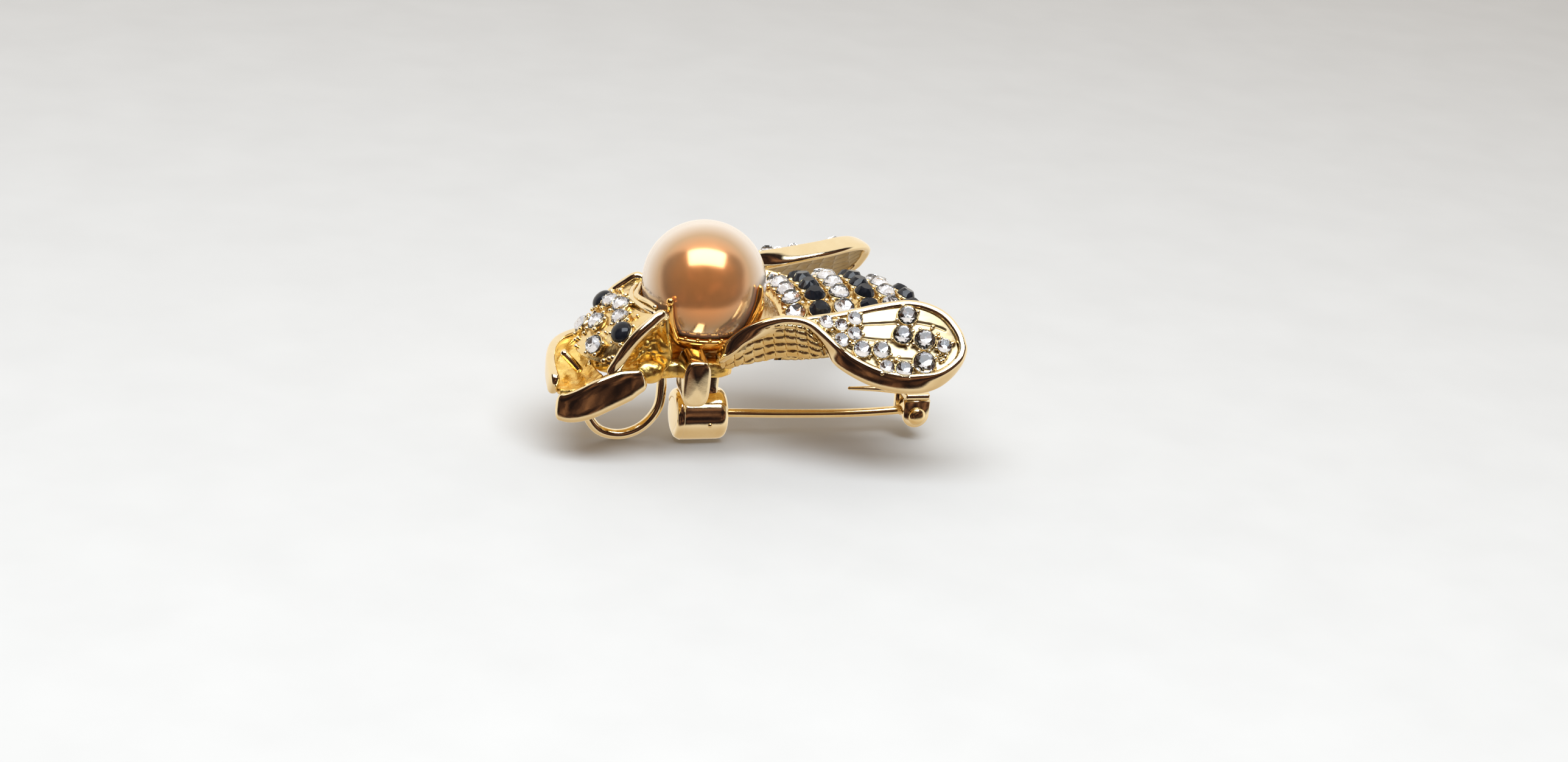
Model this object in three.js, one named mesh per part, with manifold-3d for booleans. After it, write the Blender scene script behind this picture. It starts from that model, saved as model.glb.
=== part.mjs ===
// Bee brooch: a gold-plated casting that carries a half-drilled pearl in a claw cup, rows of foil-backed stones,
// and a pin back made of a hinge bracket, a pin stem and a rolling safety catch.
// Millimetres, +Z up, +X towards the tail, +Y towards the far wing. Z = 0 is the surface that the brooch stands on.
import * as THREE from 'three';
import { mergeVertices } from 'three/addons/utils/BufferGeometryUtils.js';
import Module from 'manifold-3d';

// ---------- driving dimensions ----------
const PEARL_R = 5.0;                 // pearl radius
const PEARL = [0, 0, 13.6];          // pearl centre
const CUP_IN = 5.12, CUP_OUT = 5.62; // claw cup: inner and outer radius about the pearl centre
const CUP_TOP = 9.9;                 // height of the cup's lip
const STONE_R = 0.9;                 // radius of a standard stone
const STONE_H = 0.75;                // height of a stone above its seat
const PIN_R = 0.36;                  // pin wire radius
const HINGE = [18.9, 0, 2.15];       // pin hinge axis, along Y
const CATCH = [0.45, 0, 2.15];       // catch axis, along X
const CATCH_LEN = 4.3;
const CATCH_OUT = 2.15, CATCH_IN = 1.6;
const ROLLER_OUT = 1.5, ROLLER_IN = 0.9;
const BAIL_R = 0.42;                 // bail wire radius
const WING_T = 0.95;                 // wing plate thickness
const FRAME_BOTTOM = 6.4;            // flat underside of the thorax frame

// ---------- helpers ----------
const V = (a) => new THREE.Vector3(a[0], a[1], a[2]);
const wasm = await Module();
wasm.setup();

function solid(geometry) {
  const g = geometry.clone();
  g.deleteAttribute('normal');
  g.deleteAttribute('uv');
  const m = mergeVertices(g, 1e-5);
  return new wasm.Manifold(new wasm.Mesh({
    numProp: 3,
    vertProperties: new Float32Array(m.attributes.position.array),
    triVerts: new Uint32Array(m.index.array),
  }));
}
function geometryOf(man) {
  const mesh = man.getMesh();
  const g = new THREE.BufferGeometry();
  g.setAttribute('position', new THREE.BufferAttribute(new Float32Array(mesh.vertProperties), 3));
  g.setIndex(new THREE.BufferAttribute(new Uint32Array(mesh.triVerts), 1));
  return g;
}
const join = (...gs) => geometryOf(gs.map(solid).reduce((a, b) => a.add(b)));
const cut = (g, ...tools) => geometryOf(tools.map(solid).reduce((a, b) => a.subtract(b), solid(g)));

// closed body through a list of rings; every ring has the same number of points, in the same sense
function loft(rings) {
  const n = rings[0].length, pos = [], idx = [];
  for (const r of rings) for (const p of r) pos.push(p.x, p.y, p.z);
  const centre = (r) => r.reduce((a, p) => a.add(p), new THREE.Vector3()).multiplyScalar(1 / n);
  const a = centre(rings[0]), b = centre(rings[rings.length - 1]);
  const ia = pos.length / 3; pos.push(a.x, a.y, a.z);
  const ib = pos.length / 3; pos.push(b.x, b.y, b.z);
  for (let i = 0; i + 1 < rings.length; i++) for (let j = 0; j < n; j++) {
    const k = (j + 1) % n, p = i * n + j, q = i * n + k, r = p + n, s = q + n;
    idx.push(p, q, s, p, s, r);
  }
  const last = (rings.length - 1) * n;
  for (let j = 0; j < n; j++) {
    const k = (j + 1) % n;
    idx.push(ia, k, j);
    idx.push(ib, last + j, last + k);
  }
  const g = new THREE.BufferGeometry();
  g.setAttribute('position', new THREE.Float32BufferAttribute(pos, 3));
  g.setIndex(idx);
  // outward faces
  let vol = 0;
  const A = new THREE.Vector3(), B = new THREE.Vector3(), C = new THREE.Vector3();
  for (let t = 0; t < idx.length; t += 3) {
    A.fromArray(pos, idx[t] * 3); B.fromArray(pos, idx[t + 1] * 3); C.fromArray(pos, idx[t + 2] * 3);
    vol += A.dot(B.cross(C));
  }
  if (vol < 0) {
    for (let t = 0; t < idx.length; t += 3) [idx[t + 1], idx[t + 2]] = [idx[t + 2], idx[t + 1]];
    g.setIndex(idx);
  }
  return g;
}

// bar along a curve: at each station a superellipse of the given half-width (side) and half-height (up)
function bar(points, size, { steps = 14, sides = 12, power = 2.0, up = [0, 0, 1] } = {}) {
  const curve = new THREE.CatmullRomCurve3(points.map(V), false, 'centripetal');
  const rings = [];
  const ref = V(up);
  for (let i = 0; i <= steps; i++) {
    const u = i / steps, c = curve.getPointAt(u), t = curve.getTangentAt(u);
    const side = new THREE.Vector3().crossVectors(t, ref).normalize();
    const top = new THREE.Vector3().crossVectors(side, t).normalize();
    const [w, h] = size(u);
    const ring = [];
    for (let j = 0; j < sides; j++) {
      const a = (j / sides) * 2 * Math.PI, ca = Math.cos(a), sa = Math.sin(a);
      const x = Math.sign(ca) * Math.abs(ca) ** (2 / power) * w, y = Math.sign(sa) * Math.abs(sa) ** (2 / power) * h;
      ring.push(c.clone().addScaledVector(side, x).addScaledVector(top, y));
    }
    rings.push(ring);
  }
  return loft(rings);
}
const ends = (w, h, k = 0.08) => (u) => {
  const e = Math.min(u, 1 - u), s = e < k ? Math.sqrt(Math.max(0.12, 1 - (1 - e / k) ** 2)) : 1;
  return [w * s, h * s];
};
function sector(r0, r1, a0, a1, x0, x1, n = 20) {
  // C-shaped ring about an axis along X; angles in degrees from straight down, positive towards +Y
  const ring = (x) => {
    const out = [];
    for (let i = 0; i <= n; i++) {
      const a = THREE.MathUtils.degToRad(a0 + (a1 - a0) * i / n);
      out.push(new THREE.Vector3(x, Math.sin(a) * r1, -Math.cos(a) * r1));
    }
    for (let i = n; i >= 0; i--) {
      const a = THREE.MathUtils.degToRad(a0 + (a1 - a0) * i / n);
      out.push(new THREE.Vector3(x, Math.sin(a) * r0, -Math.cos(a) * r0));
    }
    return out;
  };
  // prism with end faces triangulated strip by strip
  const A = ring(x0), B = ring(x1), m = A.length, pos = [], idx = [];
  for (const p of [...A, ...B]) pos.push(p.x, p.y, p.z);
  for (let j = 0; j < m; j++) { const k = (j + 1) % m; idx.push(j, k, m + k, j, m + k, m + j); }
  for (let i = 0; i < n; i++) {
    const o0 = i, o1 = i + 1, q0 = m - 1 - i, q1 = m - 2 - i;
    idx.push(o0, q0, q1, o0, q1, o1);
    idx.push(m + o0, m + q1, m + q0, m + o0, m + o1, m + q1);
  }
  const g = new THREE.BufferGeometry();
  g.setAttribute('position', new THREE.Float32BufferAttribute(pos, 3));
  g.setIndex(idx);
  return fixSense(g);
}
function fixSense(g) {
  const p = g.attributes.position.array, idx = Array.from(g.index.array);
  let vol = 0;
  const A = new THREE.Vector3(), B = new THREE.Vector3(), C = new THREE.Vector3();
  for (let t = 0; t < idx.length; t += 3) {
    A.fromArray(p, idx[t] * 3); B.fromArray(p, idx[t + 1] * 3); C.fromArray(p, idx[t + 2] * 3);
    vol += A.dot(B.cross(C));
  }
  if (vol < 0) for (let t = 0; t < idx.length; t += 3) [idx[t + 1], idx[t + 2]] = [idx[t + 2], idx[t + 1]];
  g.setIndex(idx);
  return g;
}
const place = (g, x, y, z) => g.clone().translate(x, y, z);
function box(x0, x1, y0, y1, z0, z1) {
  return new THREE.BoxGeometry(x1 - x0, y1 - y0, z1 - z0).translate((x0 + x1) / 2, (y0 + y1) / 2, (z0 + z1) / 2);
}
const cylY = (r, y0, y1, n = 20) => new THREE.CylinderGeometry(r, r, y1 - y0, n).translate(0, (y0 + y1) / 2, 0);

// ---------- materials ----------
const gold = () => new THREE.MeshStandardMaterial({ color: 0xdcc28a, metalness: 1, roughness: 0.12 });
const castGold = () => new THREE.MeshStandardMaterial({ color: 0xd6ad55, metalness: 1, roughness: 0.4 });
const pearlMat = () => new THREE.MeshStandardMaterial({ color: 0xdcae8c, metalness: 0, roughness: 0.16 });
const crystal = () => new THREE.MeshStandardMaterial({ color: 0xe8e8ee, metalness: 0.1, roughness: 0.03 });
const jet = () => new THREE.MeshStandardMaterial({ color: 0x0b0d12, metalness: 0, roughness: 0.08 });

const group = new THREE.Group();
const brooch = new THREE.Group();
group.add(brooch);
function add(name, geometry, material, parent = brooch) {
  const m = new THREE.Mesh(geometry, material);
  m.name = name;
  parent.add(m);
  return m;
}

// ---------- pearl, its peg and its claw cup ----------
const pearlBall = new THREE.SphereGeometry(PEARL_R, 28, 18).rotateX(Math.PI / 2).translate(...PEARL);
add('pearl', cut(pearlBall, new THREE.CylinderGeometry(0.5, 0.5, 8, 16).rotateX(Math.PI / 2).translate(0, 0, PEARL[2] - 5)), pearlMat());
const cupOuter = new THREE.SphereGeometry(CUP_OUT, 24, 16).rotateX(Math.PI / 2).translate(...PEARL);
const cupInner = new THREE.SphereGeometry(CUP_IN, 24, 16).rotateX(Math.PI / 2).translate(...PEARL);
const cupLow = box(-7, 7, -7, 7, 0, CUP_TOP);
let cup = geometryOf(solid(cupOuter).intersect(solid(cupLow)).subtract(solid(cupInner)));
// claws: bars that follow the pearl from the lip upwards; azimuth in degrees, polar angle from straight down
function claw(azimuth, from, to, w0, w1, r0 = 5.18, r1 = 5.55) {
  const rings = [], N = 7, az = THREE.MathUtils.degToRad(azimuth);
  for (let i = 0; i <= N; i++) {
    const u = i / N, p = THREE.MathUtils.degToRad(from + (to - from) * u), w = w0 + (w1 - w0) * u;
    const ring = [];
    for (const [s, r] of [[-1, r0], [1, r0], [1, r1], [-1, r1]]) {
      const d = (s * w) / 2;
      const rad = Math.sin(p) * r, x = rad * Math.cos(az) - d * Math.sin(az), y = rad * Math.sin(az) + d * Math.cos(az);
      ring.push(new THREE.Vector3(PEARL[0] + x, PEARL[1] + y, PEARL[2] - Math.cos(p) * r));
    }
    rings.push(ring);
  }
  return loft(rings);
}
cup = geometryOf([
  claw(-134, 38, 89, 0.75, 0.5), claw(134, 38, 89, 0.75, 0.5),
  claw(-47, 38, 101, 1.7, 0.35), claw(47, 38, 101, 1.7, 0.35),
].map(solid).reduce((a, b) => a.add(b), solid(cup)));
// peg that enters the pearl's drilled hole
const peg = new THREE.CylinderGeometry(0.4, 0.4, 2.6, 12).rotateX(Math.PI / 2).translate(0, 0, PEARL[2] - CUP_IN + 1.15);
cup = geometryOf(solid(cup).add(solid(peg)));
add('pearl_cup', cup, gold());

// ---------- thorax frame: flat-bottomed base with the neck that carries the head ----------
const baseShape = new THREE.Shape();
{
  const x0 = -4.6, x1 = 2.35, w = 3.15, c = 1.2;
  baseShape.moveTo(x0 + c, -w); baseShape.lineTo(x1 - c, -w); baseShape.lineTo(x1, -w + c); baseShape.lineTo(x1, w - c);
  baseShape.lineTo(x1 - c, w); baseShape.lineTo(x0 + c, w); baseShape.lineTo(x0, w - c); baseShape.lineTo(x0, -w + c);
  baseShape.closePath();
}
const base = new THREE.ExtrudeGeometry(baseShape, { depth: 7.9 - FRAME_BOTTOM, bevelEnabled: false }).translate(0, 0, FRAME_BOTTOM);
// tongue behind the base, towards the abdomen; cloth bears on its flat underside
const tongue = new THREE.BoxGeometry(3.6, 4.0, 0.75).translate(3.8, 0, 7.725);
const neck = loft([
  [-3.4, 2.9, 6.45, 8.3], [-4.6, 3.0, 6.5, 9.6], [-5.6, 3.0, 6.5, 9.9], [-6.6, 2.9, 6.5, 9.3], [-7.6, 2.5, 6.6, 8.4], [-8.3, 2.0, 6.7, 7.7],
].map(([x, w, z0, z1]) => {
  const k = 0.55;
  return [[-w, z0 + k], [-w + k, z0], [w - k, z0], [w, z0 + k], [w, z1 - k], [w - k, z1], [-w + k, z1], [-w, z1 - k]]
    .map(([y, z]) => new THREE.Vector3(x, y, z));
}));
// room for the claw cup over the base
const cupRoom = new THREE.SphereGeometry(CUP_OUT + 0.08, 24, 16).rotateX(Math.PI / 2).translate(...PEARL);
add('thorax_frame', geometryOf(solid(base).add(solid(tongue)).add(solid(neck)).subtract(solid(cupRoom))), castGold());

// ---------- head mask: a curved sheet that slopes forward, with its stones ----------
const HEAD = [ // ridge x, z; edge x, y, z
  [-5.95, 11.75, -4.35, 4.2, 12.45], [-6.7, 11.3, -5.2, 4.45, 11.85], [-7.7, 10.65, -6.15, 4.6, 11.0],
  [-8.65, 9.8, -6.9, 4.6, 10.0], [-9.45, 8.9, -7.4, 4.5, 9.0], [-10.1, 7.95, -7.75, 4.3, 8.1],
];
const HEAD_WALL = 0.85;
const headPoint = (i, y) => {
  const [rx, rz, ex, ey, ez] = HEAD[i], q = (y / ey) ** 2;
  return new THREE.Vector3(rx + (ex - rx) * q, y, rz + (ez - rz) * q);
};
const headNormal = (i, v) => { // inward, down and towards the tail
  const n = new THREE.Vector3(0.72, -0.22 * v, -0.66);
  return n.normalize();
};
const headRings = HEAD.map((row, i) => {
  const M = 8, out = [], inn = [];
  for (let j = 0; j <= M; j++) {
    const v = -1 + (2 * j) / M, p = headPoint(i, v * row[3]);
    out.push(p); inn.push(p.clone().addScaledVector(headNormal(i, v), HEAD_WALL));
  }
  return [...out, ...inn.reverse()];
});
let mask = loft(headRings);
mask = geometryOf(solid(mask).subtract(solid(new THREE.SphereGeometry(CUP_OUT + 0.1, 24, 16).rotateX(Math.PI / 2).translate(...PEARL))));
add('head_mask', mask, castGold());

// ---------- front legs, proboscis, middle legs ----------
add('front_leg_near', bar([[-4.3, -4.45, 7.65], [-6.6, -4.75, 6.95], [-8.8, -4.7, 5.75], [-10.6, -4.35, 4.75], [-12.05, -3.5, 4.5]],
  (u) => { const [w, h] = ends(0.55, 1.2, 0.12)(u); return [w, h * (0.78 + 0.22 * Math.sin(Math.PI * Math.min(1, u * 1.3)))]; }, { power: 3.2, steps: 16 }), gold());
add('front_leg_far', bar([[-4.3, 4.45, 7.65], [-6.6, 4.75, 7.2], [-8.6, 4.6, 6.8], [-10.4, 3.6, 6.6], [-11.7, 1.8, 6.6], [-12.25, -0.4, 6.45], [-12.2, -2.3, 6.0]],
  (u) => { const [w, h] = ends(0.5, 1.0, 0.1)(u); return [w, h]; }, { power: 3.2, steps: 18 }), gold());
add('proboscis', bar([[-9.95, -0.9, 6.55], [-10.5, -0.55, 7.1], [-11.1, -0.3, 7.75]], ends(0.34, 0.34, 0.2), { steps: 6, sides: 8 }), gold());
add('middle_leg_near', bar([[-1.35, -3.3, 7.3], [-1.4, -4.4, 7.2], [-1.5, -5.95, 7.1]], (u) => ends(1.05, 1.85, 0.12)(u), { power: 3.6, steps: 8, up: [0, 0.1, 1] }), gold());
add('middle_leg_far', bar([[-1.35, 3.3, 7.3], [-1.4, 4.4, 7.2], [-1.5, 5.95, 7.1]], (u) => ends(1.05, 1.85, 0.12)(u), { power: 3.6, steps: 8, up: [0, -0.1, 1] }), gold());

// ---------- abdomen: hollow dome with alternating rows of stones ----------
const ABD = [ // x, half width, top, base
  [5.75, 4.15, 12.15, 8.05], [7.0, 4.55, 12.6, 8.3], [9.0, 4.75, 12.95, 8.75], [11.0, 4.75, 13.1, 9.0], [13.0, 4.45, 13.05, 9.2],
  [15.2, 3.75, 12.65, 9.35], [17.2, 2.7, 11.95, 9.5], [18.6, 1.7, 11.2, 9.65], [19.3, 0.8, 10.6, 9.8],
];
const ABD_POWER = 2.6;
const domeZ = (row, y) => row[3] + (row[2] - row[3]) * Math.max(0, 1 - Math.abs(y / row[1]) ** ABD_POWER) ** (1 / ABD_POWER);
function domeRing([x, w, top, zb], drop = 0, M = 16) {
  const out = [];
  for (let j = 0; j <= M; j++) {
    const a = Math.PI * j / M, ca = Math.cos(a), sa = Math.sin(a), e = 2 / ABD_POWER;
    out.push(new THREE.Vector3(x, Math.sign(ca) * Math.abs(ca) ** e * w, zb + sa ** e * (top - zb)));
  }
  out.push(new THREE.Vector3(x, -w, zb - drop), new THREE.Vector3(x, w, zb - drop));
  return out;
}
function abdAt(x) {
  let i = 0;
  while (i < ABD.length - 2 && ABD[i + 1][0] < x) i++;
  const u = (x - ABD[i][0]) / (ABD[i + 1][0] - ABD[i][0]);
  return ABD[i].map((v, k) => v + (ABD[i + 1][k] - v) * u);
}
const abdOuter = loft(ABD.map((r) => domeRing(r, 0.35)));
const WALL = 0.85;
const abdInner = loft(ABD.slice(1, -1).map((r, i, all) => {
  const s = [...r];
  if (i === 0) s[0] += 0.0;
  s[1] = Math.max(0.35, s[1] - WALL); s[2] -= WALL;
  return domeRing([s[0] - (i === 0 ? 0.3 : 0), s[1], Math.max(s[2], s[3] + 0.2), s[3]], 3);
}));
add('abdomen_shell', cut(abdOuter, abdInner), castGold());

// ---------- wings ----------
const RIM = [ // outer edge from the root to the tip
  [0.35, -3.75, 8.35], [0.75, -4.85, 9.55], [1.6, -5.1, 10.7], [2.6, -5.4, 11.5], [3.7, -5.75, 12.05], [5.17, -6.25, 12.45], [6.84, -6.95, 12.3], [8.11, -7.9, 11.3],
  [9.11, -8.8, 10.25], [10.58, -9.7, 9.5], [12.12, -10.3, 9.0], [14.42, -10.8, 8.75], [16.76, -10.8, 9.13], [18.46, -10.3, 10.35], [18.99, -9.6, 11.36],
];
const BACK = [ // inner edge from the root to the tip
  [1.6, -3.85, 8.5], [2.9, -4.75, 10.0], [4.6, -5.15, 11.1], [6.5, -5.45, 12.0], [8.6, -5.55, 12.6], [10.85, -5.6, 13.15], [13.13, -5.6, 13.65],
  [15.38, -5.95, 14.05], [16.86, -6.6, 13.95], [18.05, -7.5, 13.45], [18.78, -8.6, 12.5], [18.99, -9.6, 11.36],
];
function wing(rim, back) {
  const A = new THREE.CatmullRomCurve3(rim, false, 'centripetal'), B = new THREE.CatmullRomCurve3(back, false, 'centripetal');
  const rings = [], N = 18;
  for (let i = 0; i <= N; i++) {
    const u = 0.965 * (i / N), a = A.getPointAt(u), b = B.getPointAt(u);
    const t = A.getTangentAt(u).add(B.getTangentAt(u)).normalize();
    const across = b.clone().sub(a), len = across.length();
    across.normalize();
    const n = new THREE.Vector3().crossVectors(t, across).normalize();
    const k = Math.min(1, len / 3), T = WING_T * (0.6 + 0.4 * k);
    const ring = [], prof = [[0.0, 0.35], [0.12, 0.5], [0.5, 0.36], [0.88, 0.5], [1.0, 0.35], [1.0, -0.35], [0.88, -0.5], [0.5, -0.4], [0.12, -0.5], [0, -0.35]];
    for (const [s, h] of prof) ring.push(a.clone().addScaledVector(across, s * len).addScaledVector(n, h * T));
    rings.push(ring);
  }
  return loft(rings);
}
const nearRim = RIM.map(V), nearBack = BACK.map(V);
add('wing_near', wing(nearRim, nearBack), gold());
// the far wing is the same casting mirrored, set wider and higher
const FAR_PIVOT = new THREE.Vector3(1.0, 3.8, 8.4);
const FAR_TURN = new THREE.Euler(0, THREE.MathUtils.degToRad(6), THREE.MathUtils.degToRad(13), 'ZYX');
const FAR_LIFT = new THREE.Vector3(0, 0.45, 0.9);
const toFar = (p) => new THREE.Vector3(p.x, -p.y, p.z).sub(FAR_PIVOT).applyEuler(FAR_TURN).add(FAR_PIVOT).add(FAR_LIFT);
add('wing_far', wing(nearRim.map(toFar), nearBack.map(toFar)), gold());

// ---------- stones ----------
function stoneGeometry(r = STONE_R, h = STONE_H, sides = 8) {
  return new THREE.LatheGeometry([[0, 0], [r * 0.96, 0], [r, h * 0.42], [r * 0.58, h], [0, h]].map(([x, y]) => new THREE.Vector2(x, y)), sides).rotateX(Math.PI / 2);
}
function setStone(g, at, normal, lift = 0.06) {
  const q = new THREE.Quaternion().setFromUnitVectors(new THREE.Vector3(0, 0, 1), normal);
  return g.clone().applyQuaternion(q).translate(at.x + normal.x * lift, at.y + normal.y * lift, at.z + normal.z * lift);
}
function abdPoint(x, s) { // s: arc position from the ridge, in mm, negative towards the near side
  const row = abdAt(x), step = 0.02;
  let y = 0, z = domeZ(row, 0), walked = 0;
  const dir = Math.sign(s);
  while (walked < Math.abs(s)) {
    const y2 = y + dir * step, z2 = domeZ(row, y2);
    walked += Math.hypot(step, z2 - z); y = y2; z = z2;
  }
  const p = new THREE.Vector3(x, y, z);
  const e = 0.05, dzdy = (domeZ(row, y + e) - domeZ(row, y - e)) / (2 * e);
  const dzdx = (domeZ(abdAt(x + 0.3), y) - domeZ(abdAt(x - 0.3), y)) / 0.6;
  return { p, n: new THREE.Vector3(-dzdx, -dzdy, 1).normalize() };
}
const ROWS = [ // name, x, stone pitch positions along the arc, material, radius
  ['stone_row_1_clear', 6.95, [-3.2, -1.6, 0, 1.6, 3.2], crystal, 0.84],
  ['stone_row_2_black', 8.85, [-3.4, -1.7, 0, 1.7, 3.4], jet, 0.9],
  ['stone_row_3_clear', 10.85, [-3.4, -1.7, 0, 1.7, 3.4], crystal, 0.9],
  ['stone_row_4_black', 13.0, [-3.2, -1.6, 0, 1.6, 3.2], jet, 0.86],
  ['stone_row_5_clear', 15.05, [-2.5, -0.83, 0.83, 2.5], crystal, 0.88],
  ['stone_row_6_black', 17.1, [-1.55, 0, 1.55], jet, 0.82],
];
for (const [name, x, at, mat, r] of ROWS) {
  const gs = at.map((s) => { const { p, n } = abdPoint(x, s); return setStone(stoneGeometry(r, STONE_H, 10), p, n, 0.14); });
  // the foil-backed stones of one row share a bed of cement
  const bed = [];
  for (let k = 0; k <= 8; k++) {
    const { p, n } = abdPoint(x, (at[0] + (at[at.length - 1] - at[0]) * k / 8) || 1e-6);
    bed.push([p.x + n.x * 0.3, p.y + n.y * 0.3, p.z + n.z * 0.3]);
  }
  gs.push(bar(bed, () => [0.4, 0.09], { steps: 10, sides: 6, up: [0, 0, 1] }));
  add(name, geometryOf(gs.map(solid).reduce((a, b) => a.add(b))), mat());
}
// wing stones lie in the field of each wing; u runs along the wing, v from the outer edge to the inner one
const WING_STONES = [[0.413, 0.446, 0.62], [0.493, 0.271, 0.62], [0.471, 0.565, 0.55], [0.535, 0.492, 0.6], [0.517, 0.764, 0.6], [0.578, 0.288, 0.72], [0.644, 0.350, 0.72], [0.673, 0.163, 0.6], [0.731, 0.174, 0.7], [0.711, 0.803, 0.8], [0.706, 0.569, 0.8], [0.784, 0.548, 0.85], [0.794, 0.271, 0.9], [0.862, 0.52, 0.6]]; // u, v, radius
function wingStone(rim, back, u, v, side) {
  const A = new THREE.CatmullRomCurve3(rim, false, 'centripetal'), B = new THREE.CatmullRomCurve3(back, false, 'centripetal');
  const at = (uu, vv) => { const a = A.getPointAt(uu), b = B.getPointAt(uu); return a.lerp(b, vv); };
  const p = at(u, v), t = at(u + 0.01, v).sub(at(u - 0.01, v)).normalize(), c = at(u, v + 0.02).sub(at(u, v - 0.02)).normalize();
  const n = new THREE.Vector3().crossVectors(t, c).normalize();
  if (n.z < 0) n.negate();
  return { p, n };
}
for (const [label, rim, back] of [['near', nearRim, nearBack], ['far', nearRim.map(toFar), nearBack.map(toFar)]]) {
  WING_STONES.forEach(([u, v, r], i) => {
    const { p, n } = wingStone(rim, back, u, v);
    add(`wing_${label}_stone_${String(i + 1).padStart(2, '0')}`, setStone(stoneGeometry(r, 0.6), p, n, WING_T * 0.5 + 0.1), crystal());
  });
}
// head stones and eyes
const headAt = (f, y) => { // f: position down the mask, 0..5
  const i = Math.min(4, Math.floor(f)), u = f - i;
  return headPoint(i, y).lerp(headPoint(i + 1, y), u);
};
function headFrame(f, y) {
  const p = headAt(f, y), t = headAt(Math.min(5, f + 0.2), y).sub(headAt(Math.max(0, f - 0.2), y)).normalize(), c = headAt(f, y + 0.1).sub(headAt(f, y - 0.1)).normalize();
  const n = new THREE.Vector3().crossVectors(t, c).normalize();
  if (n.x > 0) n.negate();
  return { p, n };
}
for (const [name, f, y, mat, r, h] of [
  ['eye_near', 2.35, -3.45, jet, 0.92, 0.85], ['eye_far', 2.35, 3.45, jet, 0.92, 0.85],
  ['head_stone_crown', 0.8, 0, crystal, 0.85, 0.6], ['head_stone_brow_near', 1.5, -1.75, crystal, 0.8, 0.6], ['head_stone_brow_far', 1.5, 1.75, crystal, 0.8, 0.6],
  ['head_stone_face', 2.7, 0, crystal, 0.85, 0.6], ['head_stone_cheek_near', 3.9, -2.1, crystal, 0.85, 0.6], ['head_stone_cheek_far', 3.9, 2.1, crystal, 0.85, 0.6],
]) {
  const { p, n } = headFrame(f, y);
  add(name, setStone(stoneGeometry(r, h), p, n, 0.22), mat());
}

// ---------- bail: a wire loop under the head for a chain ----------
add('bail', bar([[-3.0, 0, 6.25], [-2.75, 0, 4.6], [-3.0, 0, 2.6], [-4.2, 0, 1.05], [-5.9, 0, BAIL_R], [-7.7, 0, 0.85], [-8.75, 0, 2.2], [-9.05, 0, 4.0], [-8.85, 0, 6.2]],
  () => [BAIL_R, BAIL_R], { steps: 26, sides: 8, up: [0, 1, 0] }), gold());

// ---------- catch: housing with a rolling sleeve ----------
const cx0 = CATCH[0] - CATCH_LEN / 2, cx1 = CATCH[0] + CATCH_LEN / 2;
// housing: barrel open from just short of straight down to above level on the far side, closed at the front end
const housing = sector(CATCH_IN, CATCH_OUT, 112, 332, cx0, cx1, 26);
const cap = new THREE.LatheGeometry([[0, 0], [1.75, 0], [CATCH_OUT, 0.28], [CATCH_OUT, 0.6], [0, 0.6]].map(([x, y]) => new THREE.Vector2(x, y)), 28).rotateZ(-Math.PI / 2).translate(cx0 - 0.02, 0, 0);
const post = bar([[1.35, 0, CATCH[2] + 1.8], [1.35, 0, 5.4], [1.35, 0, FRAME_BOTTOM - 0.06]], () => [0.55, 0.75], { steps: 2, sides: 12, power: 3, up: [1, 0, 0] });
add('catch_housing', geometryOf(solid(place(housing, 0, 0, CATCH[2])).add(solid(place(cap, 0, 0, CATCH[2]))).add(solid(post))), gold());
// rolling sleeve: its slot faces down when open; a thumb tab stands out through the housing's opening
const sleeve = sector(ROLLER_IN, ROLLER_OUT, 30, 330, cx0 + 0.72, cx1 - 0.1, 24);
const tab = sector(ROLLER_OUT - 0.2, CATCH_OUT + 0.5, 88, 106, CATCH[0] - 0.4, CATCH[0] + 0.9, 3);
add('catch_sleeve', join(place(sleeve, 0, 0, CATCH[2]), place(tab, 0, 0, CATCH[2])), gold());

// ---------- hinge bracket, rivet and pin stem ----------
const EAR_IN = 0.85, EAR_OUT = 1.45;
const earShape = new THREE.Shape();
earShape.moveTo(-1.15, 1.35); earShape.lineTo(-1.15, 0); earShape.absarc(0, 0, 1.15, Math.PI, 2 * Math.PI, false); earShape.lineTo(1.15, 1.35); earShape.closePath();
const ear = (y0) => {
  const g = new THREE.ExtrudeGeometry(earShape, { depth: EAR_OUT - EAR_IN, bevelEnabled: false, curveSegments: 16 });
  g.rotateX(Math.PI / 2); // shape x stays x, shape y becomes z, depth runs to -Y
  return g.translate(HINGE[0], y0 + (EAR_OUT - EAR_IN), HINGE[2]);
};
const bridge = box(HINGE[0] - 1.15, HINGE[0] + 1.15, -EAR_OUT, EAR_OUT, HINGE[2] + 1.25, HINGE[2] + 1.95);
const hingePost = bar([[18.3, 0, HINGE[2] + 1.8], [18.0, 0, 6.2], [17.2, 0, 9.0], [16.9, 0, 10.6]], () => [0.8, 0.55], { steps: 8, sides: 12, power: 3, up: [1, 0, 0] });
const tang = bar([[17.9, 0, HINGE[2] + 1.72], [15.6, 0, 4.05], [13.1, 0, 4.12]], (u) => [0.42 * (1 - 0.72 * u), 0.34 * (1 - 0.65 * u)], { steps: 6, sides: 8 });
const rivetHole = cylY(0.5, -3, 3, 20).translate(HINGE[0], 0, HINGE[2]);
let bracket = [ear(-EAR_OUT), ear(EAR_IN), bridge, tang, hingePost].map(solid).reduce((a, b) => a.add(b));
bracket = bracket.subtract(solid(rivetHole));
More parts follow.
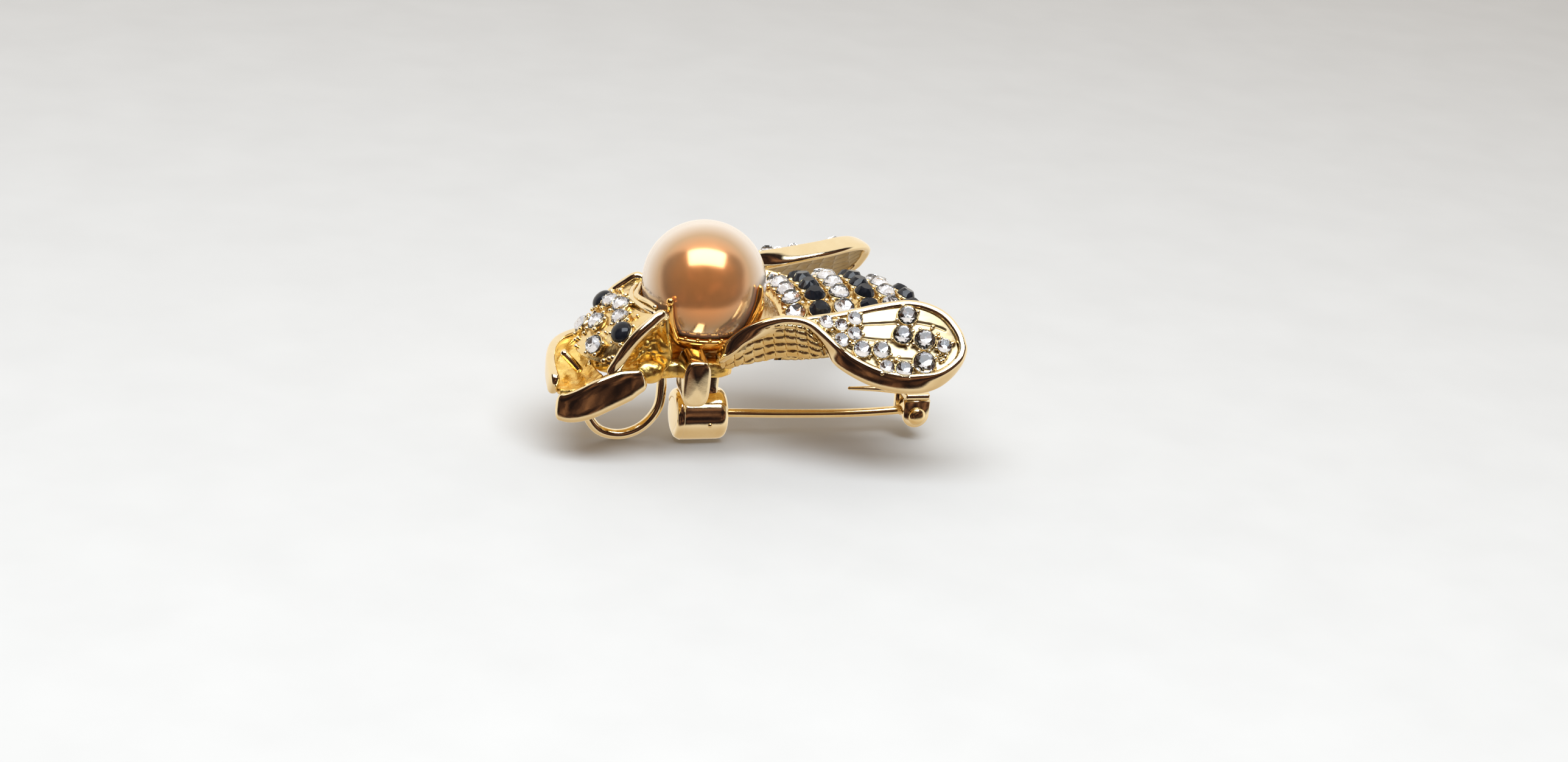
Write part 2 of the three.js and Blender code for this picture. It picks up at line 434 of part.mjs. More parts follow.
// the post is soldered inside the tail and trimmed to it
const tailRoom = loft(ABD.slice(1, -1).map((r, i) => domeRing([r[0] - (i === 0 ? 0.3 : 0), Math.max(0.3, r[1] - WALL - 0.08), Math.max(r[2] - WALL - 0.08, r[3] + 0.15), r[3]], 12)));
const below = box(10, 24, -6, 6, -1, 9.0);
bracket = bracket.intersect(solid(tailRoom).add(solid(below)));
add('hinge_bracket', geometryOf(bracket), gold());
// rivet: shank with a head outside each ear
const rivetProfile = [[0, -1.95], [0.62, -1.95], [0.75, -1.75], [0.75, -1.52], [0.43, -1.52], [0.43, 1.52], [0.75, 1.52], [0.75, 1.75], [0.62, 1.95], [0, 1.95]];
add('hinge_rivet', new THREE.LatheGeometry(rivetProfile.map(([x, y]) => new THREE.Vector2(x, y)), 20).translate(HINGE[0], 0, HINGE[2]), gold());
// pin stem: knuckle round the rivet and a pointed wire that lies along the catch axis
const knuckle = cut(cylY(0.95, -0.72, 0.72, 24), cylY(0.5, -2, 2, 20)).translate(HINGE[0], 0, HINGE[2]);
const tipX = CATCH[0] - 1.0;
const wire = bar([[HINGE[0] - 0.78, 0, HINGE[2] - 0.05], [14, 0, HINGE[2] - 0.25], [8, 0, HINGE[2] - 0.2], [tipX + 2.2, 0, CATCH[2]], [tipX, 0, CATCH[2]]],
  (u) => { const s = u > 0.9 ? Math.max(0.22, (1 - u) / 0.1) : 1; return [PIN_R * s, PIN_R * s]; }, { steps: 14, sides: 8, up: [0, 1, 0] });
add('pin_stem', join(knuckle, wire), gold());

// ---------- origin at the bottom centre of the whole brooch ----------
brooch.updateMatrixWorld(true);
const bounds = new THREE.Box3().setFromObject(brooch, true);
const mid = bounds.getCenter(new THREE.Vector3());
brooch.position.set(-mid.x, -mid.y, -bounds.min.z);

export default group;
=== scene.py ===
# Bee brooch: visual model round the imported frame. Lengths below are millimetres in the brooch's working frame
# (pearl centre at 0, 0, 13.6; +X to the tail, +Z up) and are turned into metres in the row frame by P().
import math
import random

import bmesh
import bpy
import numpy as np
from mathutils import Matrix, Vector


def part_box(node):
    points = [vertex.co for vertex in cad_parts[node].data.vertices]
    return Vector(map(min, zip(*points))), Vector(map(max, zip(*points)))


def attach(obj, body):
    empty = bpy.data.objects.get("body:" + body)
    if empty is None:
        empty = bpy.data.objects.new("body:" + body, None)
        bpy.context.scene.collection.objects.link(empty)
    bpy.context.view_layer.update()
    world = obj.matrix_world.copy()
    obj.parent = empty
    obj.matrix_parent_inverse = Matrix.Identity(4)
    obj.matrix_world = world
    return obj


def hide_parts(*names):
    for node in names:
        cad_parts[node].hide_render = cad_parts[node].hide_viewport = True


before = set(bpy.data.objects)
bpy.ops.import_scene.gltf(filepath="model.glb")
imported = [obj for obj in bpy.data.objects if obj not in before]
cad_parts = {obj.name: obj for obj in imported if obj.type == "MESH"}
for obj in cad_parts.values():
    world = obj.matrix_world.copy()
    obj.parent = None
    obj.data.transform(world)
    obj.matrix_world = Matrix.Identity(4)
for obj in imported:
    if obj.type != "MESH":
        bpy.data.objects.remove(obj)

rng = random.Random(7)
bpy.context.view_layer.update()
lo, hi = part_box("pearl")
PEARL = np.array([0.0, 0.0, 13.6])
OFF = (np.array(lo) + np.array(hi)) * 500.0 - PEARL  # mm
PEARL_R = 5.0


def P(a):
    return (np.asarray(a, float) + OFF) * 0.001


# ---------------------------------------------------------------- materials
def new_mat(name):
    m = bpy.data.materials.new(name)
    m.use_nodes = True
    nt = m.node_tree
    nt.nodes.clear()
    out = nt.nodes.new("ShaderNodeOutputMaterial")
    b = nt.nodes.new("ShaderNodeBsdfPrincipled")
    nt.links.new(b.outputs[0], out.inputs[0])
    return m, nt, b


def noise(nt, scale, detail=3.0, rough=0.5, coord=None):
    n = nt.nodes.new("ShaderNodeTexNoise")
    n.inputs["Scale"].default_value = scale
    n.inputs["Detail"].default_value = detail
    n.inputs["Roughness"].default_value = rough
    nt.links.new(coord.outputs["Object"], n.inputs["Vector"])
    return n


def ramp(nt, src, stops):
    r = nt.nodes.new("ShaderNodeValToRGB")
    e = r.color_ramp.elements
    while len(e) < len(stops):
        e.new(0.5)
    for k, (p, c) in enumerate(stops):
        e[k].position = p
        e[k].color = (*c, 1.0) if len(c) == 3 else c
    nt.links.new(src, r.inputs[0])
    return r


def maprange(nt, src, a, b, c, d):
    m = nt.nodes.new("ShaderNodeMapRange")
    for k, v in zip(("From Min", "From Max", "To Min", "To Max"), (a, b, c, d)):
        m.inputs[k].default_value = v
    nt.links.new(src, m.inputs["Value"])
    return m


def bump(nt, b, heights):
    """heights: list of (socket, strength, distance in metres); chained."""
    last = None
    for src, strength, dist in heights:
        k = nt.nodes.new("ShaderNodeBump")
        k.inputs["Strength"].default_value = strength
        k.inputs["Distance"].default_value = dist
        nt.links.new(src, k.inputs["Height"])
        if last is not None:
            nt.links.new(last.outputs[0], k.inputs["Normal"])
        last = k
    nt.links.new(last.outputs[0], b.inputs["Normal"])


def gold_material(name, light, deep, r0, r1, fine, fine_d, coarse, coarse_d, wear=0.0):
    m, nt, b = new_mat(name)
    tc = nt.nodes.new("ShaderNodeTexCoord")
    b.inputs["Metallic"].default_value = 1.0
    n1 = noise(nt, 420, 4, 0.6, tc)
    col = ramp(nt, n1.outputs[0], [(0.30, deep), (0.62, light)])
    nt.links.new(col.outputs[0], b.inputs["Base Color"])
    n2 = noise(nt, 1500, 5, 0.65, tc)
    rr = maprange(nt, n2.outputs[0], 0.3, 0.75, r0, r1)
    nt.links.new(rr.outputs[0], b.inputs["Roughness"])
    n3 = noise(nt, fine, 3, 0.6, tc)
    n4 = noise(nt, coarse, 2, 0.5, tc)
    bump(nt, b, [(n4.outputs[0], 0.6, coarse_d), (n3.outputs[0], 0.5, fine_d)])
    return m


GOLD = gold_material("polished_gold", (0.90, 0.76, 0.50), (0.86, 0.70, 0.43), 0.05, 0.14, 5200, 0.0000045, 520, 0.000030)
CAST = gold_material("cast_gold", (0.88, 0.70, 0.38), (0.80, 0.56, 0.22), 0.16, 0.34, 4200, 0.000016, 1300, 0.000075)
ROUGH = gold_material("rough_cavity_gold", (1.0, 0.76, 0.28), (0.90, 0.55, 0.11), 0.16, 0.50, 3000, 0.000060, 950, 0.00024)
# wing field: gold darkened well below the other golds, painted shade standing in for dimmer light over the wing
FIELD_PAINTED_SHADE = gold_material("wing_field_gold_painted_shade", (0.45, 0.36, 0.22), (0.40, 0.305, 0.17), 0.30, 0.42, 4800, 0.000008, 700, 0.000045)
GRAIN = gold_material("grain_gold", (0.93, 0.78, 0.50), (0.88, 0.70, 0.38), 0.04, 0.10, 5200, 0.000003, 900, 0.000006)
WIRE = gold_material("pin_wire_gold", (0.90, 0.73, 0.42), (0.84, 0.62, 0.30), 0.10, 0.20, 6000, 0.000004, 1500, 0.000008)

# pearl: nacre under a clear coat, with faint clouding; its colour carries a painted reflection tint, coppery where the
# surface faces the camera and pale towards its outline
PEARL_MAT, nt, b = new_mat("pearl_nacre_painted_reflection_tint")
tc = nt.nodes.new("ShaderNodeTexCoord")
n = noise(nt, 160, 4, 0.55, tc)
c = ramp(nt, n.outputs[0], [(0.32, (0.82, 0.78, 0.74)), (0.68, (1.0, 1.0, 1.0))])
# painted reflection tint: colour set by how squarely the surface faces the camera, coppery in the middle and pale
# peach at the outline
lw = nt.nodes.new("ShaderNodeLayerWeight")
lw.inputs["Blend"].default_value = 0.5
painted_reflection_tint = ramp(nt, lw.outputs["Facing"], [(0.0, (0.86, 0.32, 0.095)), (0.13, (0.80, 0.345, 0.125)), (0.34, (0.55, 0.36, 0.205)), (0.64, (0.80, 0.71, 0.62))])
mix = nt.nodes.new("ShaderNodeMix")
mix.data_type = "RGBA"
mix.blend_type = "MULTIPLY"
mix.inputs["Factor"].default_value = 0.35
nt.links.new(painted_reflection_tint.outputs[0], mix.inputs["A"])
nt.links.new(c.outputs[0], mix.inputs["B"])
nt.links.new(mix.outputs["Result"], b.inputs["Base Color"])
b.inputs["Metallic"].default_value = 0.64
rr = maprange(nt, noise(nt, 900, 3, 0.5, tc).outputs[0], 0.3, 0.7, 0.17, 0.22)
nt.links.new(rr.outputs[0], b.inputs["Roughness"])
b.inputs["Coat Weight"].default_value = 0.5
b.inputs["Coat Roughness"].default_value = 0.11
b.inputs["Coat IOR"].default_value = 1.5
b.inputs["Sheen Weight"].default_value = 0.12
b.inputs["Sheen Roughness"].default_value = 0.4
b.inputs["Sheen Tint"].default_value = (1.0, 0.86, 0.80, 1.0)
bump(nt, b, [(noise(nt, 1400, 2, 0.5, tc).outputs[0], 0.25, 0.000006)])

# clear stones: glass crown over a silvered, faceted foil
GLASS, nt, b = new_mat("clear_crown_glass")
b.inputs["Base Color"].default_value = (0.985, 0.985, 1.0, 1.0)
b.inputs["Transmission Weight"].default_value = 1.0
b.inputs["IOR"].default_value = 1.58
tc = nt.nodes.new("ShaderNodeTexCoord")
rr = maprange(nt, noise(nt, 2500, 2, 0.5, tc).outputs[0], 0.3, 0.7, 0.0, 0.03)
nt.links.new(rr.outputs[0], b.inputs["Roughness"])
FOIL, nt, b = new_mat("silver_foil")
tc = nt.nodes.new("ShaderNodeTexCoord")
c = ramp(nt, noise(nt, 1800, 2, 0.5, tc).outputs[0], [(0.35, (0.70, 0.70, 0.74)), (0.65, (0.93, 0.93, 0.95))])
nt.links.new(c.outputs[0], b.inputs["Base Color"])
b.inputs["Metallic"].default_value = 1.0
b.inputs["Roughness"].default_value = 0.06
# black stones
JET, nt, b = new_mat("jet_glass")
tc = nt.nodes.new("ShaderNodeTexCoord")
c = ramp(nt, noise(nt, 1500, 2, 0.5, tc).outputs[0], [(0.35, (0.006, 0.007, 0.010)), (0.7, (0.016, 0.017, 0.022))])
nt.links.new(c.outputs[0], b.inputs["Base Color"])
b.inputs["Roughness"].default_value = 0.10
b.inputs["IOR"].default_value = 1.45
b.inputs["Specular IOR Level"].default_value = 0.35
# darker, mottled metallic gold for the seats round the stones
BED, nt, b = new_mat("stone_seat_gold")
tc = nt.nodes.new("ShaderNodeTexCoord")
c = ramp(nt, noise(nt, 2600, 3, 0.6, tc).outputs[0], [(0.3, (0.50, 0.34, 0.14)), (0.7, (0.78, 0.60, 0.32))])
nt.links.new(c.outputs[0], b.inputs["Base Color"])
b.inputs["Metallic"].default_value = 1.0
b.inputs["Roughness"].default_value = 0.25


# ---------------------------------------------------------------- mesh helpers
def mesh_obj(name, verts, faces, mat, smooth=True, mm=True, mats=None, mat_index=None):
    me = bpy.data.meshes.new(name)
    vv = P(np.asarray(verts, float)) if mm else verts
    me.from_pydata([tuple(v) for v in vv], [], [tuple(int(i) for i in f) for f in faces])
    for m in (mats or [mat]):
        me.materials.append(m)
    if mat_index is not None:
        for p, k in zip(me.polygons, mat_index):
            p.material_index = k
    for p in me.polygons:
        p.use_smooth = smooth
    bm = bmesh.new()
    bm.from_mesh(me)
    bmesh.ops.recalc_face_normals(bm, faces=bm.faces)
    bm.to_mesh(me)
    bm.free()
    o = bpy.data.objects.new(name, me)
    bpy.context.scene.collection.objects.link(o)
    return o


def subsurf(o, n=1):
    m = o.modifiers.new("sub", "SUBSURF")
    m.levels = m.render_levels = n
    return o


def solidify(o, t, offset=-1.0):
    m = o.modifiers.new("sol", "SOLIDIFY")
    m.thickness = t * 0.001
    m.offset = offset
    m.use_even_offset = False
    return o


def done(o, body, slot, *nodes):
    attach(o, body)
    if nodes:
        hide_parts(*nodes)
    return o


def catmull(points, n, closed=False):
    """n points evenly along a centripetal Catmull-Rom curve."""
    p = np.asarray(points, float)
    if closed:
        p = np.vstack([p[-1], p, p[0], p[1]])
    else:
        p = np.vstack([2 * p[0] - p[1], p, 2 * p[-1] - p[-2]])
    out = []
    K = 24
    for i in range(1, len(p) - 2):
        p0, p1, p2, p3 = p[i - 1], p[i], p[i + 1], p[i + 2]
        t0 = 0.0
        t1 = t0 + max(1e-6, np.linalg.norm(p1 - p0)) ** 0.5
        t2 = t1 + max(1e-6, np.linalg.norm(p2 - p1)) ** 0.5
        t3 = t2 + max(1e-6, np.linalg.norm(p3 - p2)) ** 0.5
        t = np.linspace(t1, t2, K, endpoint=False)[:, None]
        A1 = (t1 - t) / (t1 - t0) * p0 + (t - t0) / (t1 - t0) * p1
        A2 = (t2 - t) / (t2 - t1) * p1 + (t - t1) / (t2 - t1) * p2
        A3 = (t3 - t) / (t3 - t2) * p2 + (t - t2) / (t3 - t2) * p3
        B1 = (t2 - t) / (t2 - t0) * A1 + (t - t0) / (t2 - t0) * A2
        B2 = (t3 - t) / (t3 - t1) * A2 + (t - t1) / (t3 - t1) * A3
        out.append((t2 - t) / (t2 - t1) * B1 + (t - t1) / (t2 - t1) * B2)
    out.append(p[-2][None] if not closed else p[1][None])
    d = np.vstack(out)
    s = np.concatenate([[0], np.cumsum(np.linalg.norm(np.diff(d, axis=0), axis=1))])
    q = np.linspace(0, s[-1], n + (1 if closed else 0))
    r = np.stack([np.interp(q, s, d[:, k]) for k in range(3)], 1)
    return r[:-1] if closed else r


def tangents(c):
    t = np.gradient(c, axis=0)
    return t / np.linalg.norm(t, axis=1)[:, None]


def sweep_rings(centres, ups, half_w, half_h, sides=20, power=2.0):
    """Rings of a superellipse section; half_w is along tangent x up, half_h along up."""
    t = tangents(centres)
    ups = np.asarray(ups, float)
    if ups.ndim == 1:
        ups = np.repeat(ups[None], len(centres), 0)
    side = np.cross(t, ups)
    side /= np.linalg.norm(side, axis=1)[:, None]
    up = np.cross(side, t)
    a = np.linspace(0, 2 * np.pi, sides, endpoint=False)
    ca, sa = np.cos(a), np.sin(a)
    x = np.sign(ca) * np.abs(ca) ** (2 / power)
    y = np.sign(sa) * np.abs(sa) ** (2 / power)
    w = np.broadcast_to(half_w, (len(centres),))
    h = np.broadcast_to(half_h, (len(centres),))
    return centres[:, None] + side[:, None] * (x[None, :, None] * w[:, None, None]) + up[:, None] * (y[None, :, None] * h[:, None, None])


def loft(rings, cap=True, closed=False):
    R, N = rings.shape[:2]
    v = rings.reshape(-1, 3)
    f = []
    for i in range(R if closed else R - 1):
        a, b2 = i * N, ((i + 1) % R) * N
        for j in range(N):
            k = (j + 1) % N
            f.append((a + j, a + k, b2 + k, b2 + j))
    if cap and not closed:
        v = np.vstack([v, rings[0].mean(0), rings[-1].mean(0)])
        ia, ib = R * N, R * N + 1
        for j in range(N):
            k = (j + 1) % N
            f.append((ia, k, j))
            f.append((ib, (R - 1) * N + j, (R - 1) * N + k))
    return v, f


def grid_faces(R, N, off=0, wrap=False):
    f = []
    for i in range(R - 1):
        for j in range(N if wrap else N - 1):
            k = (j + 1) % N
            f.append((off + i * N + j, off + i * N + k, off + (i + 1) * N + k, off + (i + 1) * N + j))
    return f


def merge(parts):
    V, F, o = [], [], 0
    for v, f in parts:
        v = np.asarray(v)
        V.append(v)
        F += [tuple(i + o for i in g) for g in f]
        o += len(v)
    return np.vstack(V), F


def round_ends(u, k=0.06, floor=0.04):
    e = np.minimum(u, 1 - u)
    return np.where(e < k, np.sqrt(np.clip(1 - (1 - e / k) ** 2, floor ** 2, 1)), 1.0)


def bar(points, w, h, n=60, sides=24, power=2.6, up=(0, 0, 1), k=0.06):
    c = catmull(points, n)
    u = np.linspace(0, 1, n)
    s = round_ends(u, k)
    ww = (w(u) if callable(w) else w) * s
    hh = (h(u) if callable(h) else h) * s
    return loft(sweep_rings(c, np.array(up, float), ww, hh, sides, power))


def lathe(profile, n=48, axis="z"):
    pr = np.asarray(profile, float)
    a = np.linspace(0, 2 * np.pi, n, endpoint=False)
    rings = np.stack([np.stack([r * np.cos(a), r * np.sin(a), np.full(n, z)], 1) for r, z in pr])
    return rings


_ico = {}


def ico(sub=2):
    if sub not in _ico:
        bm = bmesh.new()
        bmesh.ops.create_icosphere(bm, subdivisions=sub, radius=1.0)
        v = np.array([tuple(x.co) for x in bm.verts])
        f = [tuple(x.index for x in g.verts) for g in bm.faces]
        bm.free()
        _ico[sub] = (v, f)
    return _ico[sub]


def beads(items, sub=2):
    """items: list of (centre, normal, radius); slightly flattened cast grains."""
    v, f = ico(sub)
    parts = []
    for c, nrm, r in items:
        z = np.asarray(nrm, float)
        z /= np.linalg.norm(z)
        x = np.cross(z, [0.3, 0.9, 0.2])
        x /= np.linalg.norm(x)
        y = np.cross(z, x)
        M = np.stack([x, y, z])
        k = np.array([1 + rng.uniform(-0.1, 0.1), 1 + rng.uniform(-0.1, 0.1), 0.85])
        parts.append(((v * k * r) @ M + np.asarray(c), f))
    return merge(parts)


def value_noise(p, scale, seed=0):
    """Smooth pseudo-random field in -1..1 from sums of sines, the same each run."""
    r = np.random.RandomState(seed)
    out = np.zeros(len(p))
    for k in range(9):
        d = r.normal(size=3)
        d /= np.linalg.norm(d)
        f = scale * r.uniform(0.6, 1.9)
        out += np.sin(p @ d * f * 2 * np.pi + r.uniform(0, 6.28)) * r.uniform(0.5, 1.0)
    return out / 4.5


# ---------------------------------------------------------------- stones
def hull(points):
    bm = bmesh.new()
    for q in points:
        bm.verts.new(q)
    bmesh.ops.convex_hull(bm, input=bm.verts)
    bmesh.ops.dissolve_limit(bm, angle_limit=0.02, verts=bm.verts, edges=bm.edges)
    bm.verts.index_update()
    v = np.array([tuple(x.co) for x in bm.verts])
    f = [tuple(x.index for x in g.verts) for g in bm.faces]
    bm.free()
    return v, f


def gem_parts(r, h):
    """Round chaton: table, star, kite and girdle facets; foil pavilion inside."""
    pts = []
    for k in range(8):
        a = k * math.pi / 4
        pts.append((0.56 * r * math.cos(a), 0.56 * r * math.sin(a), h))
        a += math.pi / 8
        pts.append((0.80 * r * math.cos(a), 0.80 * r * math.sin(a), h * 0.66))
    for k in range(16):
        a = k * math.pi / 8
        pts.append((r * math.cos(a), r * math.sin(a), h * 0.30))
        pts.append((r * math.cos(a), r * math.sin(a), h * 0.20))
        pts.append((0.9 * r * math.cos(a), 0.9 * r * math.sin(a), 0.0))
    crown = hull(pts)
    # foil: eight-sided cone inside the crown
    fp = [(0.0, 0.0, 0.02 * h)]
    n = 8
    for k in range(n * 2):
        a = k * math.pi / n
        rr = (0.90 if k % 2 == 0 else 0.90) * r
        fp.append((rr * math.cos(a), rr * math.sin(a), h * 0.27))
    mid = []
    for k in range(n):
        a = (k + 0.5) * 2 * math.pi / n
        mid.append((0.42 * r * math.cos(a), 0.42 * r * math.sin(a), h * 0.13))
    fp += mid
    ff = []
    m = 2 * n
    for k in range(n):
        o0, o1, o2 = 1 + 2 * k, 1 + 2 * k + 1, 1 + (2 * k + 2) % m
        c = 1 + m + k
        cn = 1 + m + (k + 1) % n
        ff += [(o0, o1, c), (o1, o2, c), (c, o2, cn), (c, cn, 0)]
    return crown, (np.array(fp), ff)


def gem(r, h, at, nrm, spin=0.0, clear=True):
    z = np.asarray(nrm, float)
    z = z / np.linalg.norm(z)
    x = np.cross([0.1, 1.0, 0.05], z)
    x /= np.linalg.norm(x)
    y = np.cross(z, x)
    c, s = math.cos(spin), math.sin(spin)
    M = np.stack([c * x + s * y, -s * x + c * y, z])
    crown, foil = gem_parts(r, h)
    out = [(crown[0] @ M + np.asarray(at), crown[1], 0)]
    if clear:
        out.append((foil[0] @ M + np.asarray(at), foil[1], 1))
    return out


def gem_object(name, stones, clear=True):
    V, F, MI, o = [], [], [], 0
    for st in stones:
        for v, f, mi in gem(*st, clear=clear):
            V.append(v)
            F += [tuple(i + o for i in g) for g in f]
            MI += [mi] * len(f)
            o += len(v)
    return mesh_obj(name, np.vstack(V), F, None, smooth=False, mats=[GLASS, FOIL] if clear else [JET], mat_index=MI)


def seat(at, nrm, r, depth=0.45, n=24):
    """Raised cup round a stone: a low flared ring that the stone sits in."""
    z = np.asarray(nrm, float) / np.linalg.norm(nrm)
    x = np.cross(z, [0.2, 0.9, 0.1])
    x /= np.linalg.norm(x)
    y = np.cross(z, x)
    prof = [(r * 1.16, -depth), (r * 1.10, 0.02), (r * 1.07, 0.14), (r * 1.00, 0.17), (r * 0.955, 0.10), (r * 0.93, -0.04), (r * 0.5, -0.12), (0.02, -0.12)]
    rings = []
    for rr, hh in prof:
        a = np.linspace(0, 2 * np.pi, n, endpoint=False)
        rings.append(np.asarray(at) + np.outer(np.cos(a) * rr, x) + np.outer(np.sin(a) * rr, y) + z * hh)
    rings = np.stack(rings)
    return loft(rings, cap=True)


def collar_beads(at, nrm, r, count=4, size=0.2, phase=0.4, out=1.06, up=0.2):
    z = np.asarray(nrm, float) / np.linalg.norm(nrm)
    x = np.cross(z, [0.2, 0.9, 0.1])
    x /= np.linalg.norm(x)
    y = np.cross(z, x)
    its = []
    for k in range(count):
        a = phase + 2 * np.pi * k / count
        its.append((np.asarray(at) + (math.cos(a) * x + math.sin(a) * y) * r * out + z * up, z, size * rng.uniform(0.88, 1.12)))
    return its


# ---------------------------------------------------------------- camera, light, floor
F_PX, W_PX = 4474.0, 2576.0
az, el, roll = math.radians(-18.0), math.radians(22.0), math.radians(6.0)
right0 = np.array([math.cos(az), math.sin(az), 0.0])
back = np.array([math.sin(az) * math.cos(el), -math.cos(az) * math.cos(el), math.sin(el)])
up0 = np.cross(back, right0)
cr, sr = math.cos(roll), math.sin(roll)
cam_x = cr * right0 + sr * up0
cam_y = -sr * right0 + cr * up0
CAM = PEARL + 218.0 * back + 7.18 * right0 - 7.23 * up0
cam_data = bpy.data.cameras.new("camera")
cam_data.sensor_width = 36.0
cam_data.lens = F_PX / W_PX * 36.0
cam_data.clip_start = 0.01
cam_data.clip_end = 20.0
cam = bpy.data.objects.new("camera", cam_data)
bpy.context.scene.collection.objects.link(cam)
from mathutils import Matrix

cam.matrix_world = Matrix(((cam_x[0], cam_y[0], back[0], P(CAM)[0]), (cam_x[1], cam_y[1], back[1], P(CAM)[1]), (cam_x[2], cam_y[2], back[2], P(CAM)[2]), (0, 0, 0, 1)))
bpy.context.scene.camera = cam
vs = bpy.context.scene.view_settings
vs.view_transform = "Standard"
vs.look = "None"
vs.exposure = 0.0
vs.gamma = 1.0

# soft white room with a dark opening in front of the brooch
world = bpy.data.worlds.new("studio")
bpy.context.scene.world = world
world.use_nodes = True
nt = world.node_tree
nt.nodes.clear()
wo = nt.nodes.new("ShaderNodeOutputWorld")
bg = nt.nodes.new("ShaderNodeBackground")
nt.links.new(bg.outputs[0], wo.inputs[0])
tcw = nt.nodes.new("ShaderNodeTexCoord")


def dot(vec):
    n = nt.nodes.new("ShaderNodeVectorMath")
    n.operation = "DOT_PRODUCT"
    nt.links.new(tcw.outputs["Generated"], n.inputs[0])
    n.inputs[1].default_value = tuple(vec)
    return n.outputs["Value"]


def math_node(op, a, b2=None, clamp=False):
    n = nt.nodes.new("ShaderNodeMath")
    n.operation = op
    n.use_clamp = clamp
    for k, v in enumerate((a, b2)):
        if v is None:
            continue
        if isinstance(v, (int, float)):
            n.inputs[k].default_value = v
        else:
            nt.links.new(v, n.inputs[k])
    return n.outputs[0]


dx, dy, dz = dot(cam_x), dot(cam_y), dot(back)
den = math_node("SQRT", math_node("MAXIMUM", math_node("MULTIPLY", math_node("ADD", dz, 1.0), 2.0), 0.001))
U, Vv = math_node("DIVIDE", dx, den), math_node("DIVIDE", dy, den)
# superellipse |u/a|^3 + |v/b|^3 < 1
uu = math_node("POWER", math_node("ABSOLUTE", math_node("DIVIDE", math_node("ADD", U, 0.01), 0.66)), 3.0)
vv = math_node("POWER", math_node("ABSOLUTE", math_node("DIVIDE", math_node("SUBTRACT", Vv, 0.02), 0.47)), 3.0)
q = math_node("ADD", uu, vv)
mr = nt.nodes.new("ShaderNodeMapRange")
mr.inputs["From Min"].default_value = 0.75
mr.inputs["From Max"].default_value = 1.25
mr.interpolation_type = "SMOOTHSTEP"
nt.links.new(q, mr.inputs["Value"])
mixw = nt.nodes.new("ShaderNodeMix")
mixw.data_type = "RGBA"
nt.links.new(mr.outputs[0], mixw.inputs["Factor"])
wn = nt.nodes.new("ShaderNodeTexNoise")
wn.inputs["Scale"].default_value = 3.2
wn.inputs["Detail"].default_value = 3.0
nt.links.new(tcw.outputs["Generated"], wn.inputs["Vector"])
wr = ramp(nt, wn.outputs[0], [(0.40, (0.014, 0.009, 0.010)), (0.54, (0.060, 0.030, 0.022)), (0.70, (0.26, 0.13, 0.075))])
nt.links.new(wr.outputs[0], mixw.inputs["A"])
zn = nt.nodes.new("ShaderNodeMapRange")
zn.interpolation_type = "SMOOTHSTEP"
for k_, v_ in zip(("From Min", "From Max", "To Min", "To Max"), (-0.95, -0.15, 0.0, 1.0)):
    zn.inputs[k_].default_value = v_
nt.links.new(dot((0, 0, 1)), zn.inputs["Value"])
mixz = nt.nodes.new("ShaderNodeMix")
mixz.data_type = "RGBA"
nt.links.new(zn.outputs[0], mixz.inputs["Factor"])
mixz.inputs["A"].default_value = (0.62, 0.50, 0.35, 1)
mixz.inputs["B"].default_value = (1.0, 0.945, 0.86, 1)
nt.links.new(mixz.outputs["Result"], mixw.inputs["B"])
nt.links.new(mixw.outputs["Result"], bg.inputs["Color"])
bg.inputs["Strength"].default_value = 1.06

ld = bpy.data.lights.new("softbox", "AREA")
ld.shape = "RECTANGLE"
ld.size, ld.size_y = 0.36, 0.17
ld.energy = 1.45
ld.color = (0.87, 0.94, 1.0)
lo_ = bpy.data.objects.new("softbox", ld)
bpy.context.scene.collection.objects.link(lo_)
ldir = 0.10 * cam_x + 0.70 * cam_y + 0.707 * back
ldir /= np.linalg.norm(ldir)
lpos = PEARL + 300 * ldir
lo_.location = tuple(P(lpos))
lx = cam_x - ldir * (cam_x @ ldir)
lx /= np.linalg.norm(lx)
ly = np.cross(ldir, lx)
lo_.rotation_euler = Matrix(((lx[0], ly[0], ldir[0]), (lx[1], ly[1], ldir[1]), (lx[2], ly[2], ldir[2]))).to_euler()

# floor: a big, faintly mottled white sheet
FLOOR, nt2, b = new_mat("floor_paper")
tc = nt2.nodes.new("ShaderNodeTexCoord")
c = ramp(nt2, noise(nt2, 120, 3, 0.5, tc).outputs[0], [(0.3, (0.565, 0.556, 0.546)), (0.7, (0.585, 0.576, 0.566))])
nt2.links.new(c.outputs[0], b.inputs["Base Color"])
b.inputs["Roughness"].default_value = 0.75
b.inputs["Specular IOR Level"].default_value = 0.25
bpy.ops.mesh.primitive_plane_add(size=6.0, location=(0, 0, 0))
floor = bpy.context.object
floor.name = "floor"
floor.data.materials.append(FLOOR)
floor.visible_glossy = False

# ---------------------------------------------------------------- pearl
bm = bmesh.new()
bmesh.ops.create_icosphere(bm, subdivisions=6, radius=1.0)
pv = np.array([tuple(v.co) for v in bm.verts])
pf = [tuple(x.index for x in g.verts) for g in bm.faces]
bm.free()
rad = PEARL_R * (1 + 0.0010 * value_noise(pv, 0.9, 3))
low = pv[:, 2] < -0.985
hole = np.clip((0.17 - np.hypot(pv[:, 0], pv[:, 1])) / 0.05, 0, 1) * (pv[:, 2] < 0)
rad = rad * (1 - 0.18 * hole)
pearl = mesh_obj("pearl_bead", pv * rad[:, None] + PEARL, pf, PEARL_MAT)
done(pearl, "brooch", "pearl", "pearl")

